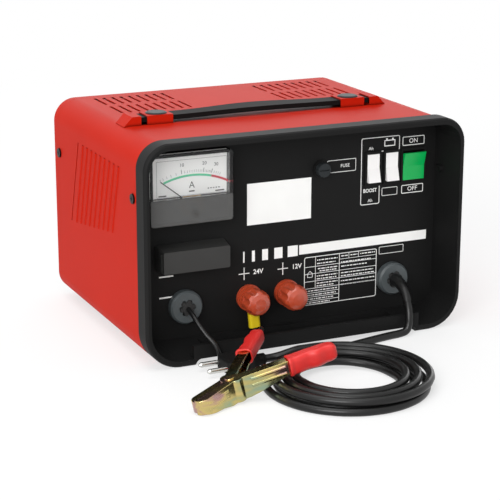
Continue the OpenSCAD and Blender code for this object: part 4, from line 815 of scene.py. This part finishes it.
# %% Dial marks
TICK_OFF, LONG_TICK, SHORT_TICK = 2.4, (0.45, 4.0), (0.26, 2.4)
TICKS = (
    112.5, 110.5, 107.8, 104.8, 101.2, 97.4, 95.2, 93.4, 91.7, 90.1, 88.6, 87.2, 85.8, 84.5, 83.3,
    82.1, 81.0, 80.0, 79.0, 78.1, 77.2, 76.3, 74.6, 73.1, 71.7, 70.3,
)
LONG_AT = (97.4, 82.1, 76.3)
page = bmesh.new()
for angle in TICKS:
    width, height = LONG_TICK if angle in LONG_AT else SHORT_TICK
    turned = Matrix.Rotation(math.radians(angle - 90), 4, "Z")
    outwards = Matrix.Translation((0, ARC_R + TICK_OFF + height / 2, 0))
    tick_at = Matrix.Translation((ARC_X, ARC_Z, 0)) @ turned @ outwards
    unit_face(page, tick_at @ Matrix.Diagonal((width, height, 1, 1)))
for text, x, z, size, stretch in (
    ("10", -116.9, 181.2, 4.4, 1.0), ("20", -95.0, 181.2, 4.4, 1.0), ("30", -83.6, 179.2, 4.4, 1.0),
    ("A", -107.4, 162.3, 8.6, 0.95),
):
    words(page, text, x, z, size, stretch)
for edges in (
    (-110.2, -104.8, 156.2, 157.3), (-139.5, -132, 154.0, 155.1), (-84.5, -75.8, 154.4, 155.5),
):
    bar(page, *edges)
for left in (-92, -89.4, -86.8, -84.2, -81.6):
    bar(page, left, left + 1.3, 157.4, 158.3)
outline(page, box_corners(-141.2, -73.4, 153.2, 186.2), 0.22, 0)
stand_up(page, "dial_print", DIAL_Y - DIAL_INK, black_ink)

# %% [markdown]
# ## Grips
# The grips are soft sleeves pushed over the clamp handles. A loop with rounded corners is drawn out along
# the handle, section by section, with two thumb hollows on its outer side and a rolled lip at the open
# end. Two levels of subdivision soften it. All grips come from one recipe: the inner one of a clamp is
# lower and mirrored, so its faces are turned outwards again.

# %% Grip sections
GRIP_SECTIONS = (  # distance along the handle, outer side, inner side, height trimmed off
    (52, 10.3, 4.9, -0.3), (53.2, 10.6, 5.2, -0.5), (55.2, 10.2, 4.9, -0.2), (56.6, 9.2, 4.75, 0),
    (60, 9.5, 4.75, 0), (64, 8.9, 4.75, 0), (68.5, 7.8, 4.75, 0), (72, 7.8, 4.75, 0), (76, 9.4, 4.75, 0),
    (79, 9.9, 4.75, 0), (82, 9.3, 4.75, 0.1), (86, 7.8, 4.75, 0.2), (89.5, 7.8, 4.75, 0.4),
    (93, 8.6, 4.7, 0.7), (95.8, 7.8, 4.0, 1.6), (97.5, 5.6, 1.8, 3.6),
)
MOUTH_SECTION, MOUTH_DEEP = (52.2, 7.1, 3.1, 2.2), 6


def section_matrix(section, heights):
    along, outer, inner, trim = section
    low, high = heights
    middle = Matrix.Translation((along, (inner - outer) / 2, (low + high) / 2))
    return middle @ Matrix.Diagonal((1, outer + inner, high - low - 2 * trim, 1))


print("grip sections", len(GRIP_SECTIONS))

# %% Grip tool
HANDLE_SPLAY = math.radians(-27)
CORNER_SHARE, CAP_INSET = 0.3, 1.2


def of_kind(found, kind):
    return [element for element in found if isinstance(element, kind)]


def draw_out(shape, edges, matrix):
    grown = bmesh.ops.extrude_edge_only(shape, edges=edges)["geom"]
    bmesh.ops.transform(shape, matrix=matrix, verts=of_kind(grown, bmesh.types.BMVert))
    return of_kind(grown, bmesh.types.BMEdge)


def grip(name, replaced, body, stand, heights, material):
    shape = bmesh.new()
    unit_face(shape, Matrix.Rotation(math.radians(90), 4, "Y"))
    round_corners(shape, CORNER_SHARE)
    bmesh.ops.delete(shape, geom=shape.faces[:], context="FACES_ONLY")
    places = [section_matrix(section, heights) for section in GRIP_SECTIONS]
    bmesh.ops.transform(shape, matrix=places[0], verts=shape.verts[:])
    loop = shape.edges[:]
    for before, now in zip(places, places[1:]):
        loop = draw_out(shape, loop, now @ before.inverted())
    cap = bmesh.ops.contextual_create(shape, geom=loop)["faces"]
    shape.normal_update()
    bmesh.ops.inset_individual(shape, faces=cap, thickness=CAP_INSET)
    rim = [edge for edge in shape.edges if edge.is_boundary]
    mouth = section_matrix(MOUTH_SECTION, heights) @ places[0].inverted()
    draw_out(shape, draw_out(shape, rim, mouth), Matrix.Translation((MOUTH_DEEP, 0, 0)))
    splayed = stand @ Matrix.Rotation(HANDLE_SPLAY, 4, "Z")
    bmesh.ops.transform(shape, matrix=Matrix.Scale(MM, 4) @ splayed, verts=shape.verts[:])
    bmesh.ops.recalc_face_normals(shape, faces=shape.faces[:])
    for face in shape.faces:
        face.smooth = True
    made = piece(shape, name, material, body)
    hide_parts(replaced)
    soft = made.modifiers.new("smooth", "SUBSURF")
    soft.levels = soft.render_levels = 2


print("handle splay in degrees", round(math.degrees(HANDLE_SPLAY)))

# %% Grips of both clamps
OUTER_HEIGHTS, INNER_HEIGHTS = (-2, 15), (-0.5, 13.5)
FLIP = Matrix.Diagonal((1, -1, 1, 1))


def clamp_matrix(pin_at, tilt, turned_by):
    tilted = Matrix.Rotation(math.radians(-tilt), 4, "Y")
    return Matrix.Translation(pin_at) @ tilted @ Matrix.Rotation(math.radians(turned_by), 4, "Z")


for colour, pin_at, tilt, turned_by, material in (
    ("red", (-122, -222.5, 9.4), 13, 22, grip_red),
    ("black", (10, 185, 8.6), 4, 180, grip_black),
):
    stand = clamp_matrix(pin_at, tilt, turned_by)
    grip(
        colour + "_outer_sleeve", colour + "_front_grip", colour + "_jaw", stand, OUTER_HEIGHTS,
        material,
    )
    grip(
        colour + "_inner_sleeve", colour + "_back_grip", "case", stand @ FLIP, INNER_HEIGHTS,
        material,
    )

# %% [markdown]
# ## Cord entries
# Where a cord comes out of its gland, a black rubber clover grips it, and the mains cord gets a tapered
# sleeve against kinks. The clover is a low cone with six round lobes set about it. The sleeve is a short
# curve on the cord's own route whose thickness falls from point to point.

# %% Clovers
GLAND_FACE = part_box("mains_gland")[0][1] / MM
DISC_DEEP, DISC_PROUD = 2.6, 0.7
LOBES, LOBE_R, LOBE_DEEP, LOBE_SET_IN, LOBE_TURN = 6, 2.4, 2.2, 0.6, 15


def low_cone(shape, sides, radius, taper, height, matrix):
    bmesh.ops.create_cone(
        shape, cap_ends=True, cap_tris=False, segments=sides, radius1=radius, radius2=radius - taper,
        depth=height, matrix=matrix,
    )


def clover(name, x, reach):
    shape = bmesh.new()
    upright = Matrix.Rotation(math.radians(90), 4, "X")
    stand = Matrix.Translation((x, GLAND_FACE - DISC_PROUD, GLAND_Z)) @ upright
    low_cone(shape, 32, reach, 1, DISC_DEEP, stand)
    for k in range(LOBES):
        around = Matrix.Rotation(math.radians(360 / LOBES * k + LOBE_TURN), 4, "Z")
        outwards = Matrix.Translation((reach - LOBE_SET_IN, 0, 0))
        low_cone(shape, 20, LOBE_R, 0.6, LOBE_DEEP, stand @ around @ outwards)
    bmesh.ops.scale(shape, vec=(MM, MM, MM), verts=shape.verts[:])
    piece(shape, name, foot_rubber, "case")


clover("mains_clover", MAINS_X, 6.6)
clover("negative_clover", NEGATIVE_X, 6.2)

# %% Tapered sleeve
SLEEVE_SWELL = (1.75, 1.7, 1.5, 1.35, 1.22, 1.12)
sleeve, sleeve_length = cord_curve("mains_sleeve", mains_route[:len(SLEEVE_SWELL)], MAINS_DIA)
for knot, swell in zip(sleeve.data.splines[0].bezier_points, SLEEVE_SWELL):
    knot.radius = swell
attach(sleeve, "case")
print("sleeve millimetres", round(sleeve_length / MM))
